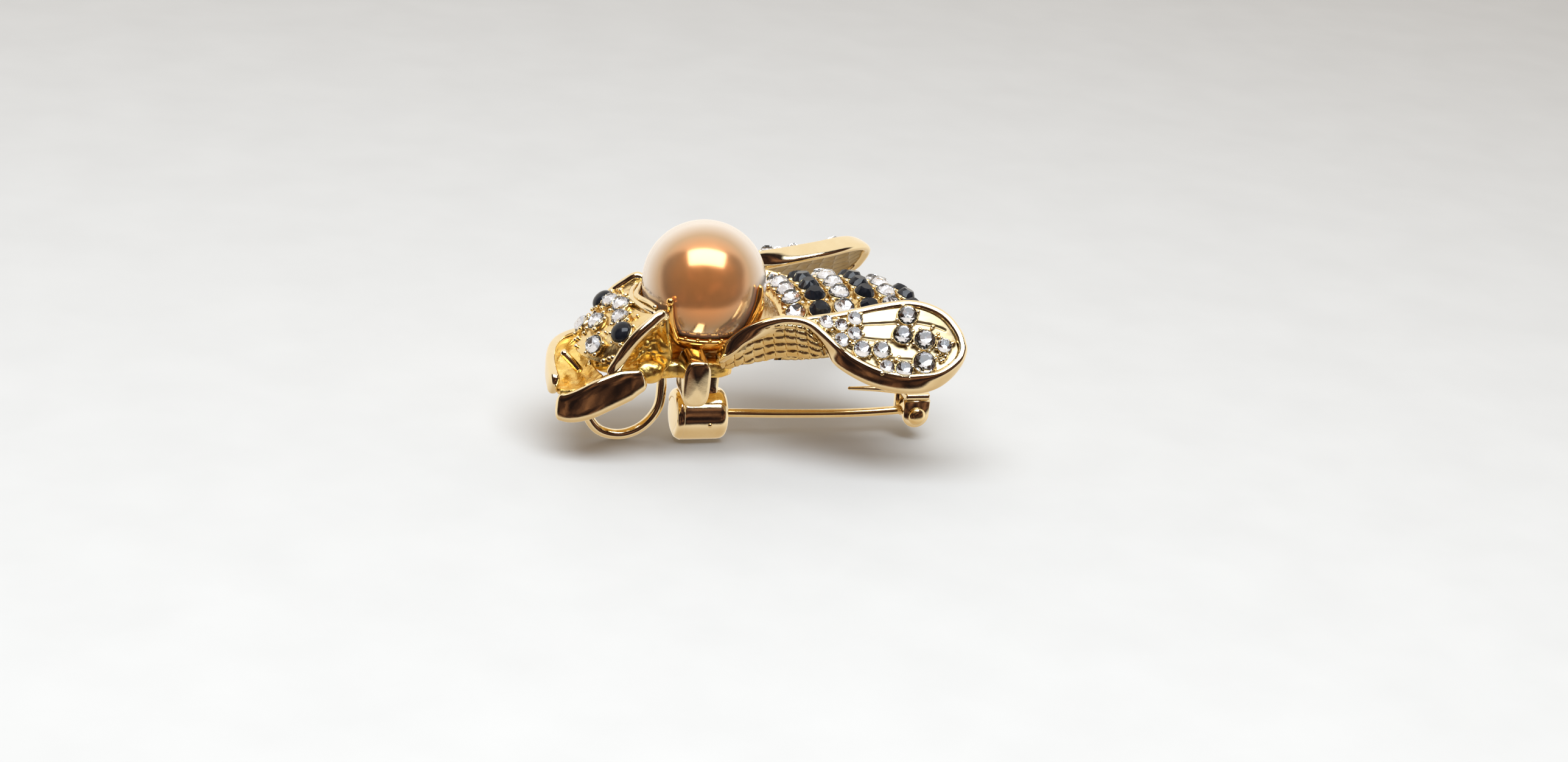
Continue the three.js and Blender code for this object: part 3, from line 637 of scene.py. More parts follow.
# ---------------------------------------------------------------- claw cup
CUP_IN, CUP_OUT, CUP_TOP = 5.06, 5.58, 9.9
parts = []
ang = math.acos((13.6 - CUP_TOP) / CUP_OUT)
prof = [(0.0, 13.6 - CUP_OUT)]
for k in range(1, 15):
    a = ang * k / 14
    prof.append((CUP_OUT * math.sin(a), 13.6 - CUP_OUT * math.cos(a)))
rt = CUP_OUT * math.sin(ang)
for k in range(1, 6):  # rolled lip
    a = math.pi * k / 6
    prof.append((rt - 0.27 + 0.27 * math.cos(a), CUP_TOP + 0.27 * math.sin(a)))
angi = math.acos((13.6 - CUP_TOP) / CUP_IN)
for k in range(0, 15):
    a = angi * (1 - k / 14)
    prof.append((CUP_IN * math.sin(a), 13.6 - CUP_IN * math.cos(a)))
parts.append(loft(lathe(prof, 72) + np.array([0, 0, 0.0]), cap=False))


def claw(azd, p0, p1, w0, w1, bulge=0.0, tip=0.0, n=26):
    azr = math.radians(azd)
    radial = np.array([math.cos(azr), math.sin(azr), 0])
    side = np.array([-math.sin(azr), math.cos(azr), 0])
    rings = []
    for i in range(n):
        u = i / (n - 1)
        p = math.radians(p0 + (p1 - p0) * u)
        w = w0 + (w1 - w0) * u + bulge * math.sin(math.pi * u)
        s = float(round_ends(np.array([u * 0.5 + 0.5]), 0.05)[0])
        rc = 5.27 + 0.10 * (1 - u)
        cdir = radial * math.sin(p) - np.array([0, 0, 1]) * math.cos(p)
        ring = []
        for j in range(16):
            a = 2 * math.pi * j / 16
            x = np.sign(math.cos(a)) * abs(math.cos(a)) ** 0.8 * w * s
            y = np.sign(math.sin(a)) * abs(math.sin(a)) ** 0.8 * (0.24 + 0.05 * (1 - u)) * s
            # ridge down the back of the claw, hugging the pearl
            hug = -(x * x) / (2 * 5.2)
            ring.append(PEARL + cdir * (rc + y + hug) + side * x)
        rings.append(ring)
    v, f = loft(np.array(rings))
    out = [(v, f)]
    if tip > 0:
        p = math.radians(p1)
        cdir = radial * math.sin(p) - np.array([0, 0, 1]) * math.cos(p)
        out.append(beads([(PEARL + cdir * 5.36, cdir, tip)], 3))
    return out


for a_, m_ in ((-134, 1), (134, 1)):
    parts += claw(a_, 40, 88, 0.42, 0.22, 0.0, 0.34)
for a_ in (-47, 47):
    parts += claw(a_, 40, 103, 0.95, 0.12, 0.30, 0.0)
# short grains round the lip
lipb = []
for k in range(26):
    a = 2 * math.pi * k / 26 + 0.06
    lipb.append(((4.05 * math.cos(a), 4.05 * math.sin(a), 10.16), (0, 0, 1), 0.19))
parts.append(beads(lipb))
v, f = merge(parts)
cup = mesh_obj("claw_cup", v, f, GRAIN)
cup.data.materials.clear()
# cup gold pushed to a saturated orange: partly the gold's own colour, partly painted warmth standing in for light
# bounced between the cup and the pearl
CUP_GOLD_PAINTED_BOUNCE = gold_material("cup_gold_painted_bounce", (0.96, 0.60, 0.20), (0.90, 0.48, 0.12), 0.12, 0.28, 4200, 0.000010, 900, 0.00005)
cup.data.materials.append(CUP_GOLD_PAINTED_BOUNCE)
done(cup, "brooch", "polished_gold", "pearl_cup")

# ---------------------------------------------------------------- thorax frame and neck
def slab(x0, x1, w, z0, z1, nx=60, ny=40, corner=1.2):
    """Rounded slab as a closed grid body."""
    rings = []
    for i in range(nx):
        u = i / (nx - 1)
        x = x0 + (x1 - x0) * u
        d = min(x - x0, x1 - x)
        ww = w - (corner - math.sqrt(max(0, corner ** 2 - (corner - d) ** 2)) if d < corner else 0)
        ring = []
        for j in range(ny):
            a = 2 * math.pi * j / ny
            cx = np.sign(math.cos(a)) * abs(math.cos(a)) ** 0.35
            cz = np.sign(math.sin(a)) * abs(math.sin(a)) ** 0.35
            ring.append((x, cx * ww, (z0 + z1) / 2 + cz * (z1 - z0) / 2))
        rings.append(ring)
    return loft(np.array(rings, float))


base = slab(-4.55, 2.33, 3.2, 6.42, 7.95)
tongue = slab(1.6, 5.6, 1.98, 7.36, 8.1, corner=0.5)
neck_pts = [(-3.4, 2.9, 6.5, 8.6), (-4.3, 3.1, 6.5, 10.6), (-5.2, 3.25, 6.5, 11.0), (-6.2, 3.2, 6.5, 10.2), (-7.2, 3.0, 6.6, 9.2), (-8.2, 2.6, 6.7, 8.1), (-8.9, 2.0, 6.9, 7.5)]
npt = catmull([(x, w, z0) for x, w, z0, z1 in neck_pts], 50)
nz1 = np.interp(npt[:, 0][::-1], [p[0] for p in neck_pts][::-1], [p[3] for p in neck_pts][::-1])[::-1]
rings = []
for (x, w, z0), z1 in zip(npt, nz1):
    ring = []
    for j in range(44):
        a = 2 * math.pi * j / 44
        cx = np.sign(math.cos(a)) * abs(math.cos(a)) ** 0.55
        cz = np.sign(math.sin(a)) * abs(math.sin(a)) ** 0.55
        ring.append((x, cx * w, (z0 + z1) / 2 + cz * (z1 - z0) / 2))
    rings.append(ring)
neck = loft(np.array(rings, float))


def roughen(v, amp, scale, seed, keep_pearl=True):
    d = value_noise(v, scale, seed) * amp + value_noise(v, scale * 2.6, seed + 1) * amp * 0.45
    c = v.mean(0)
    out = v - c
    out = v + out / (np.linalg.norm(out, axis=1)[:, None] + 1e-6) * d[:, None]
    if keep_pearl:
        r = out - PEARL
        L = np.linalg.norm(r, axis=1)
        k = np.where(L < 5.66, 5.66 / np.maximum(L, 1e-6), 1.0)
        out = PEARL + r * k[:, None]
    return out


nv, nf = merge([(roughen(neck[0], 0.16, 0.55, 11), neck[1]), (roughen(base[0], 0.13, 0.7, 15), base[1]), (roughen(tongue[0], 0.02, 0.6, 17), tongue[1])])
# keep the flat back flat
nv[:, 2] = np.maximum(nv[:, 2], 6.42)
frame_o = mesh_obj("thorax_casting", nv, nf, ROUGH)
done(frame_o, "brooch", "cast_gold", "thorax_frame")

# cheeks: the rough cast walls between the head's edge and the cup
EDGE = [(-4.35, 4.2, 12.45), (-5.2, 4.45, 11.85), (-6.15, 4.6, 11.0), (-6.9, 4.6, 10.0), (-7.4, 4.5, 9.0), (-7.75, 4.3, 8.1), (-7.9, 4.1, 7.2)]
INN = [(-3.85, 3.75, 12.1), (-3.75, 3.95, 11.2), (-3.55, 3.95, 10.3), (-3.3, 3.85, 9.4), (-3.2, 3.75, 8.6), (-3.4, 3.7, 7.8), (-4.2, 3.6, 6.9)]
for sgn, nm in ((-1, "near"), (1, "far")):
    A = catmull([(x + 0.15, sgn * (y - 0.15), z) for x, y, z in EDGE], 70)
    B = catmull([(x, sgn * y, z) for x, y, z in INN], 70)
    g = []
    for k in range(40):
        t = k / 39
        row = A * (1 - t) + B * t
        row = row.copy()
        row[:, 1] -= sgn * 0.95 * math.sin(math.pi * t)
        g.append(row)
    g = np.array(g).transpose(1, 0, 2)
    pts = g.reshape(-1, 3)
    d = value_noise(pts, 0.55, 21) * 0.24 + value_noise(pts, 1.2, 22) * 0.20 + value_noise(pts, 2.2, 23) * 0.06
    fade = np.tile(np.sin(np.pi * np.clip(np.linspace(0, 1, 40), 0.0, 1.0)), 70)
    pts = pts.copy()
    pts[:, 1] += d * fade
    r = pts - PEARL
    L = np.linalg.norm(r, axis=1)
    pts = PEARL + r * np.where(L < 5.5, 5.5 / L, 1.0)[:, None]
    o = mesh_obj(f"cheek_{nm}", pts, grid_faces(70, 40), ROUGH)
    solidify(o, 0.35, 0.0)
    done(o, "brooch", "cast_gold")

v_, f_ = ico(4)
blob = v_ * [1.25, 0.7, 0.95]
blob = blob * (1 + 0.10 * value_noise(v_, 0.5, 51))[:, None] + np.array([-5.0, -3.95, 7.5])
o = mesh_obj("cavity_solder_lump", blob, f_, ROUGH)
done(o, "brooch", "cast_gold")

# ---------------------------------------------------------------- head mask
HEAD = [(-5.95, 11.75, -4.35, 4.2, 12.45), (-6.7, 11.3, -5.2, 4.45, 11.85), (-7.7, 10.65, -6.15, 4.6, 11.0),
        (-8.65, 9.8, -6.9, 4.6, 10.0), (-9.45, 8.9, -7.4, 4.5, 9.0), (-10.1, 7.95, -7.75, 4.3, 8.1)]


def head_row(f):
    f = max(0.0, min(5.0, f))
    i = min(4, int(f))
    u = f - i
    h = np.array(HEAD)
    p = [h[max(0, i - 1)], h[i], h[i + 1], h[min(5, i + 2)]]
    return 0.5 * ((2 * p[1]) + (-p[0] + p[2]) * u + (2 * p[0] - 5 * p[1] + 4 * p[2] - p[3]) * u * u + (-p[0] + 3 * p[1] - 3 * p[2] + p[3]) * u ** 3)


def head_point(f, y):
    rx, rz, ex, ey, ez = head_row(f)
    q2 = (y / ey) ** 2
    return np.array([rx + (ex - rx) * q2, y, rz + (ez - rz) * q2])


def head_frame(f, y):
    p = head_point(f, y)
    t = head_point(min(5, f + 0.1), y) - head_point(max(0, f - 0.1), y)
    c2 = head_point(f, y + 0.05) - head_point(f, y - 0.05)
    n2 = np.cross(t, c2)
    n2 /= np.linalg.norm(n2)
    return p, (-n2 if n2[0] > 0 else n2)


R_, N_ = 60, 60
pts = []
for i in range(R_):
    f_ = 5.0 * i / (R_ - 1)
    ey = head_row(f_)[3]
    for j in range(N_):
        p, n2 = head_frame(f_, (-1 + 2 * j / (N_ - 1)) * ey)
        pts.append(p)
pts = np.array(pts)
pts[:, 2] += value_noise(pts, 0.8, 31) * 0.05
mask = mesh_obj("head_casting", pts, grid_faces(R_, N_), CAST)
# the sheet's outer face is the drawn one, so its wall goes inwards
bm = bmesh.new()
bm.from_mesh(mask.data)
bm.faces.ensure_lookup_table()
if bm.faces[len(bm.faces) // 2].normal.x > 0:
    bmesh.ops.reverse_faces(bm, faces=bm.faces)
bm.to_mesh(mask.data)
bm.free()
solidify(mask, 0.75, -1.0)
for p in mask.data.polygons:
    p.use_smooth = True
done(mask, "brooch", "cast_gold", "head_mask")

# polished rims down both edges of the mask
for sgn, nm in ((-1, "near"), (1, "far")):
    rp = [(x - 0.05, sgn * (y + 0.02), z) for x, y, z in [(-3.75, 3.9, 12.15)] + EDGE[:-1] + [(-8.05, 4.25, 7.3)]]
    v, f = bar(rp, lambda u: 0.36 + 0.10 * np.sin(np.pi * np.clip(u, 0, 1)), lambda u: 0.44 + 0.12 * u, n=80, sides=24, power=2.0, up=(-0.6, 0, 0.8), k=0.05)
    o = mesh_obj(f"head_rim_{nm}", v, f, GOLD)
    done(o, "brooch", "polished_gold")

# ---------------------------------------------------------------- front legs and the scoop between them
v, f = bar([(-5.35, -4.55, 7.3), (-6.8, -4.8, 6.85), (-8.6, -4.75, 6.0), (-10.2, -4.45, 5.05), (-11.3, -4.0, 4.6), (-12.15, -3.35, 4.55)],
           lambda u: 0.58 - 0.06 * u, lambda u: 1.14 + 0.24 * np.sin(np.pi * np.clip(u * 1.1, 0, 1)) ** 0.8 - 0.35 * np.clip((0.22 - u) / 0.22, 0, 1), n=90, sides=40, power=3.0, up=(0, 0.12, 1), k=0.07)
o = mesh_obj("front_leg_near_band", v, f, GOLD)
done(o, "brooch", "polished_gold", "front_leg_near")
v, f = bar([(-3.9, 4.3, 7.65), (-6.6, 4.75, 7.25), (-8.6, 4.6, 6.95), (-10.3, 3.7, 6.8), (-11.45, 2.0, 6.75), (-12.05, 0.0, 6.5), (-12.2, -1.6, 6.1), (-12.15, -2.75, 5.6)],
           lambda u: 0.5 - 0.08 * u, lambda u: 1.02 + 0.0 * u, n=100, sides=32, power=3.2, k=0.06)
o = mesh_obj("front_leg_far_band", v, f, GOLD)
done(o, "brooch", "polished_gold", "front_leg_far")
g = []
for i in range(50):
    t = i / 49
    x = -8.6 - 3.25 * t
    ylo = np.interp(x, [-12, -11.2, -10, -8.5], [-3.0, -3.75, -4.2, -4.4])
    yhi = np.interp(x, [-12, -11.4, -10.3, -8.5], [-0.5, 1.9, 3.4, 4.3])
    row = []
    for j in range(40):
        s_ = j / 39
        y = ylo + (yhi - ylo) * s_
        z = 6.35 - 0.75 * math.sin(math.pi * s_) - 0.75 * t + 0.5 * s_ + 0.9 * (1 - t) ** 3
        row.append((x, y, z))
    g.append(row)
pts = np.array(g).reshape(-1, 3)
pts[:, 2] += value_noise(pts, 0.6, 41) * 0.10
o = mesh_obj("front_scoop", pts, grid_faces(50, 40), ROUGH)
solidify(o, 0.4, 0.0)
done(o, "brooch", "cast_gold")
v, f = bar([(-9.75, -1.05, 6.35), (-10.4, -0.62, 7.0), (-11.0, -0.35, 7.6), (-11.3, -0.25, 7.95)], 0.34, 0.32, n=40, sides=20, power=2.2, k=0.16)
o = mesh_obj("proboscis_bar", v, f, GOLD)
done(o, "brooch", "polished_gold", "proboscis")

# ---------------------------------------------------------------- middle legs
for sgn, nm in ((-1, "near"), (1, "far")):
    pts_ = [(-1.35, sgn * 3.1, 7.3), (-1.38, sgn * 4.2, 7.2), (-1.45, sgn * 5.2, 7.14), (-1.5, sgn * 5.95, 7.1)]
    c_ = catmull(pts_, 60)
    u_ = np.linspace(0, 1, 60)
    d_ = (1 - u_) * 2.85  # distance from the end
    s_ = np.where(d_ < 0.3, np.sqrt(np.clip(1 - ((0.3 - d_) / 0.3) ** 2, 0, 1)), 1.0)
    w_ = 1.10 - 0.30 * (1 - s_)
    h_ = 1.98 - 0.30 * (1 - s_)
    w_[-1] *= 0.985
    h_[-1] *= 0.985
    v, f = loft(sweep_rings(c_, np.array([0, 0, 1.0]), w_, h_, 44, 3.4))
    o = mesh_obj(f"middle_leg_{nm}_stub", v, f, GOLD)
    done(o, "brooch", "polished_gold", f"middle_leg_{nm}")

# ---------------------------------------------------------------- abdomen
ABD = np.array([(5.75, 4.15, 12.15, 8.45), (7.0, 4.55, 12.6, 8.6), (9.0, 4.75, 12.95, 8.8), (11.0, 4.75, 13.1, 8.9), (13.0, 4.45, 13.05, 9.0),
                (15.2, 3.75, 12.65, 9.1), (17.2, 2.7, 11.95, 9.2), (18.6, 1.7, 11.2, 9.35), (19.3, 0.8, 10.6, 9.5)])
POW = 2.6


def abd_row(x):
    c_ = [np.interp(x, ABD[:, 0], ABD[:, k]) for k in range(4)]
    # rounder than straight segments
    e = 0.5
    cc = [np.mean([np.interp(np.clip(x + d, 5.75, 19.3), ABD[:, 0], ABD[:, k]) for d in (-e, 0, e)]) for k in range(4)]
    return x, 0.5 * (c_[1] + cc[1]), 0.5 * (c_[2] + cc[2]), 0.5 * (c_[3] + cc[3])


def abd_z(row, y):
    x, w, top, zb = row
    zb = zb + 0.3
    return zb + (top - zb) * max(0.0, 1 - abs(y / w) ** POW) ** (1 / POW)


def abd_frame(x, s):
    row = abd_row(x)
    y, z, walked, step = 0.0, abd_z(row, 0), 0.0, 0.02
    sg = 1 if s > 0 else -1
    while walked < abs(s):
        y2 = y + sg * step
        z2 = abd_z(row, y2)
        walked += math.hypot(step, z2 - z)
        y, z = y2, z2
    e = 0.05
    dy_ = (abd_z(row, y + e) - abd_z(row, y - e)) / (2 * e)
    dx_ = (abd_z(abd_row(x + 0.3), y) - abd_z(abd_row(x - 0.3), y)) / 0.6
    n_ = np.array([-dx_, -dy_, 1.0])
    return np.array([x, y, z]), n_ / np.linalg.norm(n_)


ROWS = [("stone_row_1_clear", 6.95, [-3.2, -1.6, 0, 1.6, 3.2], True, 0.84), ("stone_row_2_black", 8.85, [-3.4, -1.7, 0, 1.7, 3.4], False, 0.9),
        ("stone_row_3_clear", 10.85, [-3.4, -1.7, 0, 1.7, 3.4], True, 0.9), ("stone_row_4_black", 13.0, [-3.2, -1.6, 0, 1.6, 3.2], False, 0.86),
        ("stone_row_5_clear", 15.05, [-2.5, -0.83, 0.83, 2.5], True, 0.88), ("stone_row_6_black", 17.1, [-1.55, 0, 1.55], False, 0.82)]

NX, NA = 150, 120
rows = []
xs = np.concatenate([np.full(8, 5.75), np.linspace(5.75, 19.28, NX)])
for i, x in enumerate(xs):
    row = abd_row(x)
    k = min(1.0, (i + 1) / 8.0) if i < 8 else 1.0
    ring = []
    for j in range(NA):
        a = math.pi * j / (NA - 1)
        ca, sa = math.cos(a), math.sin(a)
        y = np.sign(ca) * abs(ca) ** (2 / POW) * row[1]
        z = row[3] + 0.3 + sa ** (2 / POW) * (row[2] - row[3] - 0.3)
        p = np.array([x, y, z])
        if i < 8:  # front wall drawn in towards its middle
            c0 = np.array([x, 0, row[3] + 0.3 + 0.0])
            p = c0 + (p - c0) * k
        # lattice of small pillows on the low side walls
        if i >= 8 and z < row[3] + 2.3:
            amp = np.clip((row[3] + 2.3 - z) / 0.4, 0, 1)
            pil = abs(math.sin(x * 5.2 + z * 2.2)) * abs(math.sin(z * 5.4 - x * 1.2))
            p[1] += np.sign(y) * (0.13 * pil - 0.06) * amp
        ring.append(p)
    lo1, lo2 = ring[-1].copy(), ring[0].copy()
    lo1[2] -= 0.3 * k
    lo2[2] -= 0.3 * k
    rows.append([lo2] + ring + [lo1])
g = np.array(rows)
# shallow grooves between the stone rows
for i in range(8, len(xs)):
    gx = min(abs(xs[i] - m_) for m_ in (7.9, 9.85, 11.93, 14.03, 16.1))
    d_ = 0.14 * max(0.0, 1 - (gx / 0.42) ** 2)
    g[i, 1:-1, 2] -= d_ * np.clip((g[i, 1:-1, 2] - (g[i, 0, 2] + 2.2)) / 0.6, 0, 1)
R1, N1 = g.shape[:2]
av = g.reshape(-1, 3)
af = grid_faces(R1, N1)
tail = len(av)
av = np.vstack([av, [[19.45, 0, 10.0]]])
for j in range(N1 - 1):
    af.append(((R1 - 1) * N1 + j, (R1 - 1) * N1 + j + 1, tail))
abd = mesh_obj("abdomen_casting", av, af, CAST)
bm = bmesh.new()
bm.from_mesh(abd.data)
bm.faces.ensure_lookup_table()
mid_f = min(bm.faces, key=lambda q_: (q_.calc_center_median() - Vector(P((11, 0, 13.1)))).length)
if mid_f.normal.z < 0:
    bmesh.ops.reverse_faces(bm, faces=bm.faces)
bm.to_mesh(abd.data)
bm.free()
solidify(abd, 0.6, -1.0)
done(abd, "brooch", "cast_gold", "abdomen_shell")

seats, grains = [], []
for name, x, at, clear, r in ROWS:
    st = []
    for s_ in at:
        p, n_ = abd_frame(x, s_)
        q_ = p + n_ * 0.14
        st.append((r * 0.98, 0.78, q_, n_, rng.uniform(0, 0.8)))
        seats.append(seat(q_, n_, r * 0.96, 0.4))
    o = gem_object(name + "_gems", st, clear)
    done(o, "brooch", "clear_stone" if clear else "jet_stone", name)
    # grains between this row's stones and its neighbours
    for a_, b_ in zip(at[:-1], at[1:]):
        for dx_ in (-0.72, 0.72):
            p, n_ = abd_frame(x + dx_, (a_ + b_) / 2)
            grains.append((p + n_ * 0.26, n_, 0.235))
    for e_, sg in ((at[0] - 0.95, -1), (at[-1] + 0.95, 1)):
        for dx_ in (-0.85, -0.1, 0.65):
            p, n_ = abd_frame(x + dx_, e_)
            grains.append((p + n_ * 0.12, n_, 0.25 + rng.uniform(-0.03, 0.05)))
        for dx_ in (-0.5, 0.35):
            p, n_ = abd_frame(x + dx_, e_ + sg * 0.45)
            grains.append((p + n_ * 0.10, n_, 0.22 + rng.uniform(-0.03, 0.04)))
v, f = merge(seats)
o = mesh_obj("abdomen_seats", v, f, BED)
done(o, "brooch", "cast_gold")
v, f = beads(grains)
o = mesh_obj("abdomen_grains", v, f, GRAIN)
done(o, "brooch", "polished_gold")

# ---------------------------------------------------------------- wings
RIM = [(0.35, -3.75, 8.35), (0.75, -4.85, 9.55), (1.6, -5.1, 10.7), (2.6, -5.4, 11.5), (3.7, -5.75, 12.05), (5.17, -6.25, 12.45), (6.84, -6.95, 12.3), (8.11, -7.9, 11.3),
       (9.11, -8.8, 10.25), (10.58, -9.7, 9.5), (12.12, -10.3, 9.0), (14.42, -10.8, 8.75), (16.76, -10.8, 9.13), (18.46, -10.3, 10.35), (18.99, -9.6, 11.36)]
BACK = [(1.6, -3.85, 8.5), (2.9, -4.75, 10.0), (4.6, -5.15, 11.1), (6.5, -5.45, 12.0), (8.6, -5.55, 12.6), (10.85, -5.6, 13.15), (13.13, -5.6, 13.65),
        (15.38, -5.95, 14.05), (16.86, -6.6, 13.95), (18.05, -7.5, 13.45), (18.78, -8.6, 12.5), (18.99, -9.6, 11.36)]
NU = 260
rimA, backB = catmull(RIM, NU + 1), catmull(BACK, NU + 1)
piv = np.array([1.0, 3.8, 8.4])


def rot(ax, deg):
    a = math.radians(deg)
    c_, s_ = math.cos(a), math.sin(a)
    return np.array({"x": [[1, 0, 0], [0, c_, -s_], [0, s_, c_]], "y": [[c_, 0, s_], [0, 1, 0], [-s_, 0, c_]], "z": [[c_, -s_, 0], [s_, c_, 0], [0, 0, 1]]}[ax])


R_FAR = rot("z", 13) @ rot("y", 6)


def to_far(p):
    q_ = np.atleast_2d(np.asarray(p, float)) * [1, -1, 1]
    return (q_ - piv) @ R_FAR.T + piv + [0, 0.45, 0.9]


WING_STONES = [(0.413, 0.446, 0.62), (0.493, 0.271, 0.62), (0.471, 0.565, 0.55), (0.535, 0.492, 0.6), (0.517, 0.764, 0.6), (0.578, 0.288, 0.72), (0.644, 0.350, 0.72), (0.673, 0.163, 0.6),
               (0.731, 0.174, 0.7), (0.711, 0.803, 0.8), (0.706, 0.569, 0.8), (0.784, 0.548, 0.85), (0.794, 0.271, 0.9), (0.862, 0.52, 0.6)]


def wing_sample(A, B, u, v):
    i = np.clip(u, 0, 1) * NU
    k = int(min(NU - 1, math.floor(i)))
    t = i - k
    a = A[k] * (1 - t) + A[k + 1] * t
    b_ = B[k] * (1 - t) + B[k + 1] * t
    return a * (1 - v) + b_ * v


def wing_frame(A, B, u, v):
    p = wing_sample(A, B, u, v)
    t = wing_sample(A, B, min(1, u + 0.01), v) - wing_sample(A, B, max(0, u - 0.01), v)
    c_ = wing_sample(A, B, u, min(1, v + 0.02)) - wing_sample(A, B, u, max(0, v - 0.02))
    n_ = np.cross(t, c_)
    n_ /= np.linalg.norm(n_) + 1e-9
    return p, (n_ if n_[2] > 0 else -n_)


def build_wing(label, A, B):
    uu_ = np.linspace(0.015, 0.985, 230)
    vv_ = np.linspace(0.05, 0.95, 90)
    top, bot = [], []
    normals_edge = []
    for u in uu_:
        a, b_ = wing_sample(A, B, u, 0), wing_sample(A, B, u, 1)
        L = np.linalg.norm(b_ - a)
        _, n_ = wing_frame(A, B, u, 0.5)
        rt_, rb_ = [], []
        for v_ in vv_:
            m_ = a * (1 - v_) + b_ * v_
            # gentle dish between the rims
            m_ = m_ - n_ * 0.16 * math.sin(math.pi * v_) * min(1, L / 4)
            # veins fan out from the root
            vein = 0.0
            for vc in (0.30, 0.52, 0.74):
                cv = 0.5 + (vc - 0.5) * min(1.0, 0.35 + 1.1 * u)
                dist = abs(v_ - cv - 0.03 * math.sin(9 * u)) * L
                if u < 0.86:
                    vein = max(vein, 1 - (dist / 0.13) ** 2)
            rt_.append(m_ + n_ * (0.31 - 0.10 * max(0.0, vein)))
            s1 = abs(math.sin(u * 24 * 1.9 + v_ * L * 1.5))
            s2 = abs(math.sin(v_ * L * 2.6 - u * 24 * 0.55))
            rb_.append(m_ - n_ * (0.20 + 0.20 * (1 - (s1 * s2) ** 0.6)))
        top.append(rt_)
        bot.append(rb_)
    top, bot = np.array(top), np.array(bot)
    R2, N2 = top.shape[:2]
    V_ = np.vstack([top.reshape(-1, 3), bot.reshape(-1, 3)])
    F_ = grid_faces(R2, N2) + grid_faces(R2, N2, R2 * N2)
    K = R2 * N2
    for i in range(R2 - 1):
        F_.append((i * N2, (i + 1) * N2, K + (i + 1) * N2, K + i * N2))
        F_.append((i * N2 + N2 - 1, (i + 1) * N2 + N2 - 1, K + (i + 1) * N2 + N2 - 1, K + i * N2 + N2 - 1))
    for j in range(N2 - 1):
        F_.append((j, j + 1, K + j + 1, K + j))
        F_.append(((R2 - 1) * N2 + j, (R2 - 1) * N2 + j + 1, K + (R2 - 1) * N2 + j + 1, K + (R2 - 1) * N2 + j))
    # the plate takes the darkened field gold, which carries painted shade
    plate = mesh_obj(f"wing_{label}_plate", V_, F_, FIELD_PAINTED_SHADE)
    done(plate, "brooch", "polished_gold", f"wing_{label}")
    # rim round the outline
    ks = np.linspace(0, NU, 150).astype(int)
    loop = np.vstack([A[ks], B[ks[::-1]][1:]])
    nrm = []
    for k in ks:
        nrm.append(wing_frame(A, B, min(0.97, k / NU), 0.5)[1])
    nrm = np.array(nrm + nrm[::-1][1:])
    ctr = np.vstack([(A[ks] + B[ks]) / 2, ((A[ks] + B[ks]) / 2)[::-1][1:]])
    inward = ctr - loop
    inward /= np.linalg.norm(inward, axis=1)[:, None] + 1e-9
    t_ = tangents(loop)
    inward -= t_ * (inward * t_).sum(1)[:, None]
    loop = loop + inward * 0.30
    sl = np.linspace(0, 1, len(loop))
    lean = np.interp(sl, [0, 0.05, 0.08, 0.11, 0.20, 0.235, 0.26, 0.42, 0.5], [0.2, 0.25, 0.10, -0.85, -0.85, -0.4, 0.26, 0.30, 0.2])
    if label == "far":
        lean = np.where(sl > 0.5, 1.2, lean)
    up_out = np.array([0.0, 0.0, 1.0]) + inward * lean[:, None]
    up_out /= np.linalg.norm(up_out, axis=1)[:, None]
    wgt = np.interp(sl, [0, 0.04, 0.16, 0.40, 0.49], [0.2, 0.75, 0.9, 0.85, 0.0])[:, None]
    if label == "far":
        wgt = np.maximum(wgt, np.interp(sl, [0.5, 0.56, 0.9, 1.0], [0.0, 0.9, 0.9, 0.0])[:, None])
    nrm = nrm * (1 - wgt) + up_out * wgt
    nrm /= np.linalg.norm(nrm, axis=1)[:, None]
    n_tot = len(loop)
    for _ in range(3):
        sm = loop.copy()
        sm[1:-1] = (loop[:-2] + 2 * loop[1:-1] + loop[2:]) / 4
        loop = sm
        sn = nrm.copy()
        sn[1:-1] = (nrm[:-2] + 2 * nrm[1:-1] + nrm[2:]) / 4
        nrm = sn / np.linalg.norm(sn, axis=1)[:, None]
    s_ = np.linspace(0, 1, n_tot)
    hw = 0.40 - 0.06 * np.clip((s_ - 0.5) / 0.3, 0, 1)
    if label == "near":
        hh = np.interp(s_, [0, 0.05, 0.15, 0.40, 0.52, 0.7, 1.0], [0.55, 0.62, 0.74, 0.86, 0.70, 0.46, 0.40])
    else:
        hh = np.interp(s_, [0, 0.05, 0.15, 0.40, 0.52, 0.62, 0.85, 1.0], [0.55, 0.62, 0.74, 0.80, 0.85, 0.95, 0.80, 0.5])
    k_ = round_ends(s_, 0.02)
    v, f = loft(sweep_rings(loop, nrm, hw * k_, hh * k_, 32, 2.7))
    o = mesh_obj(f"wing_{label}_rim", v, f, GOLD)
    done(o, "brooch", "polished_gold")
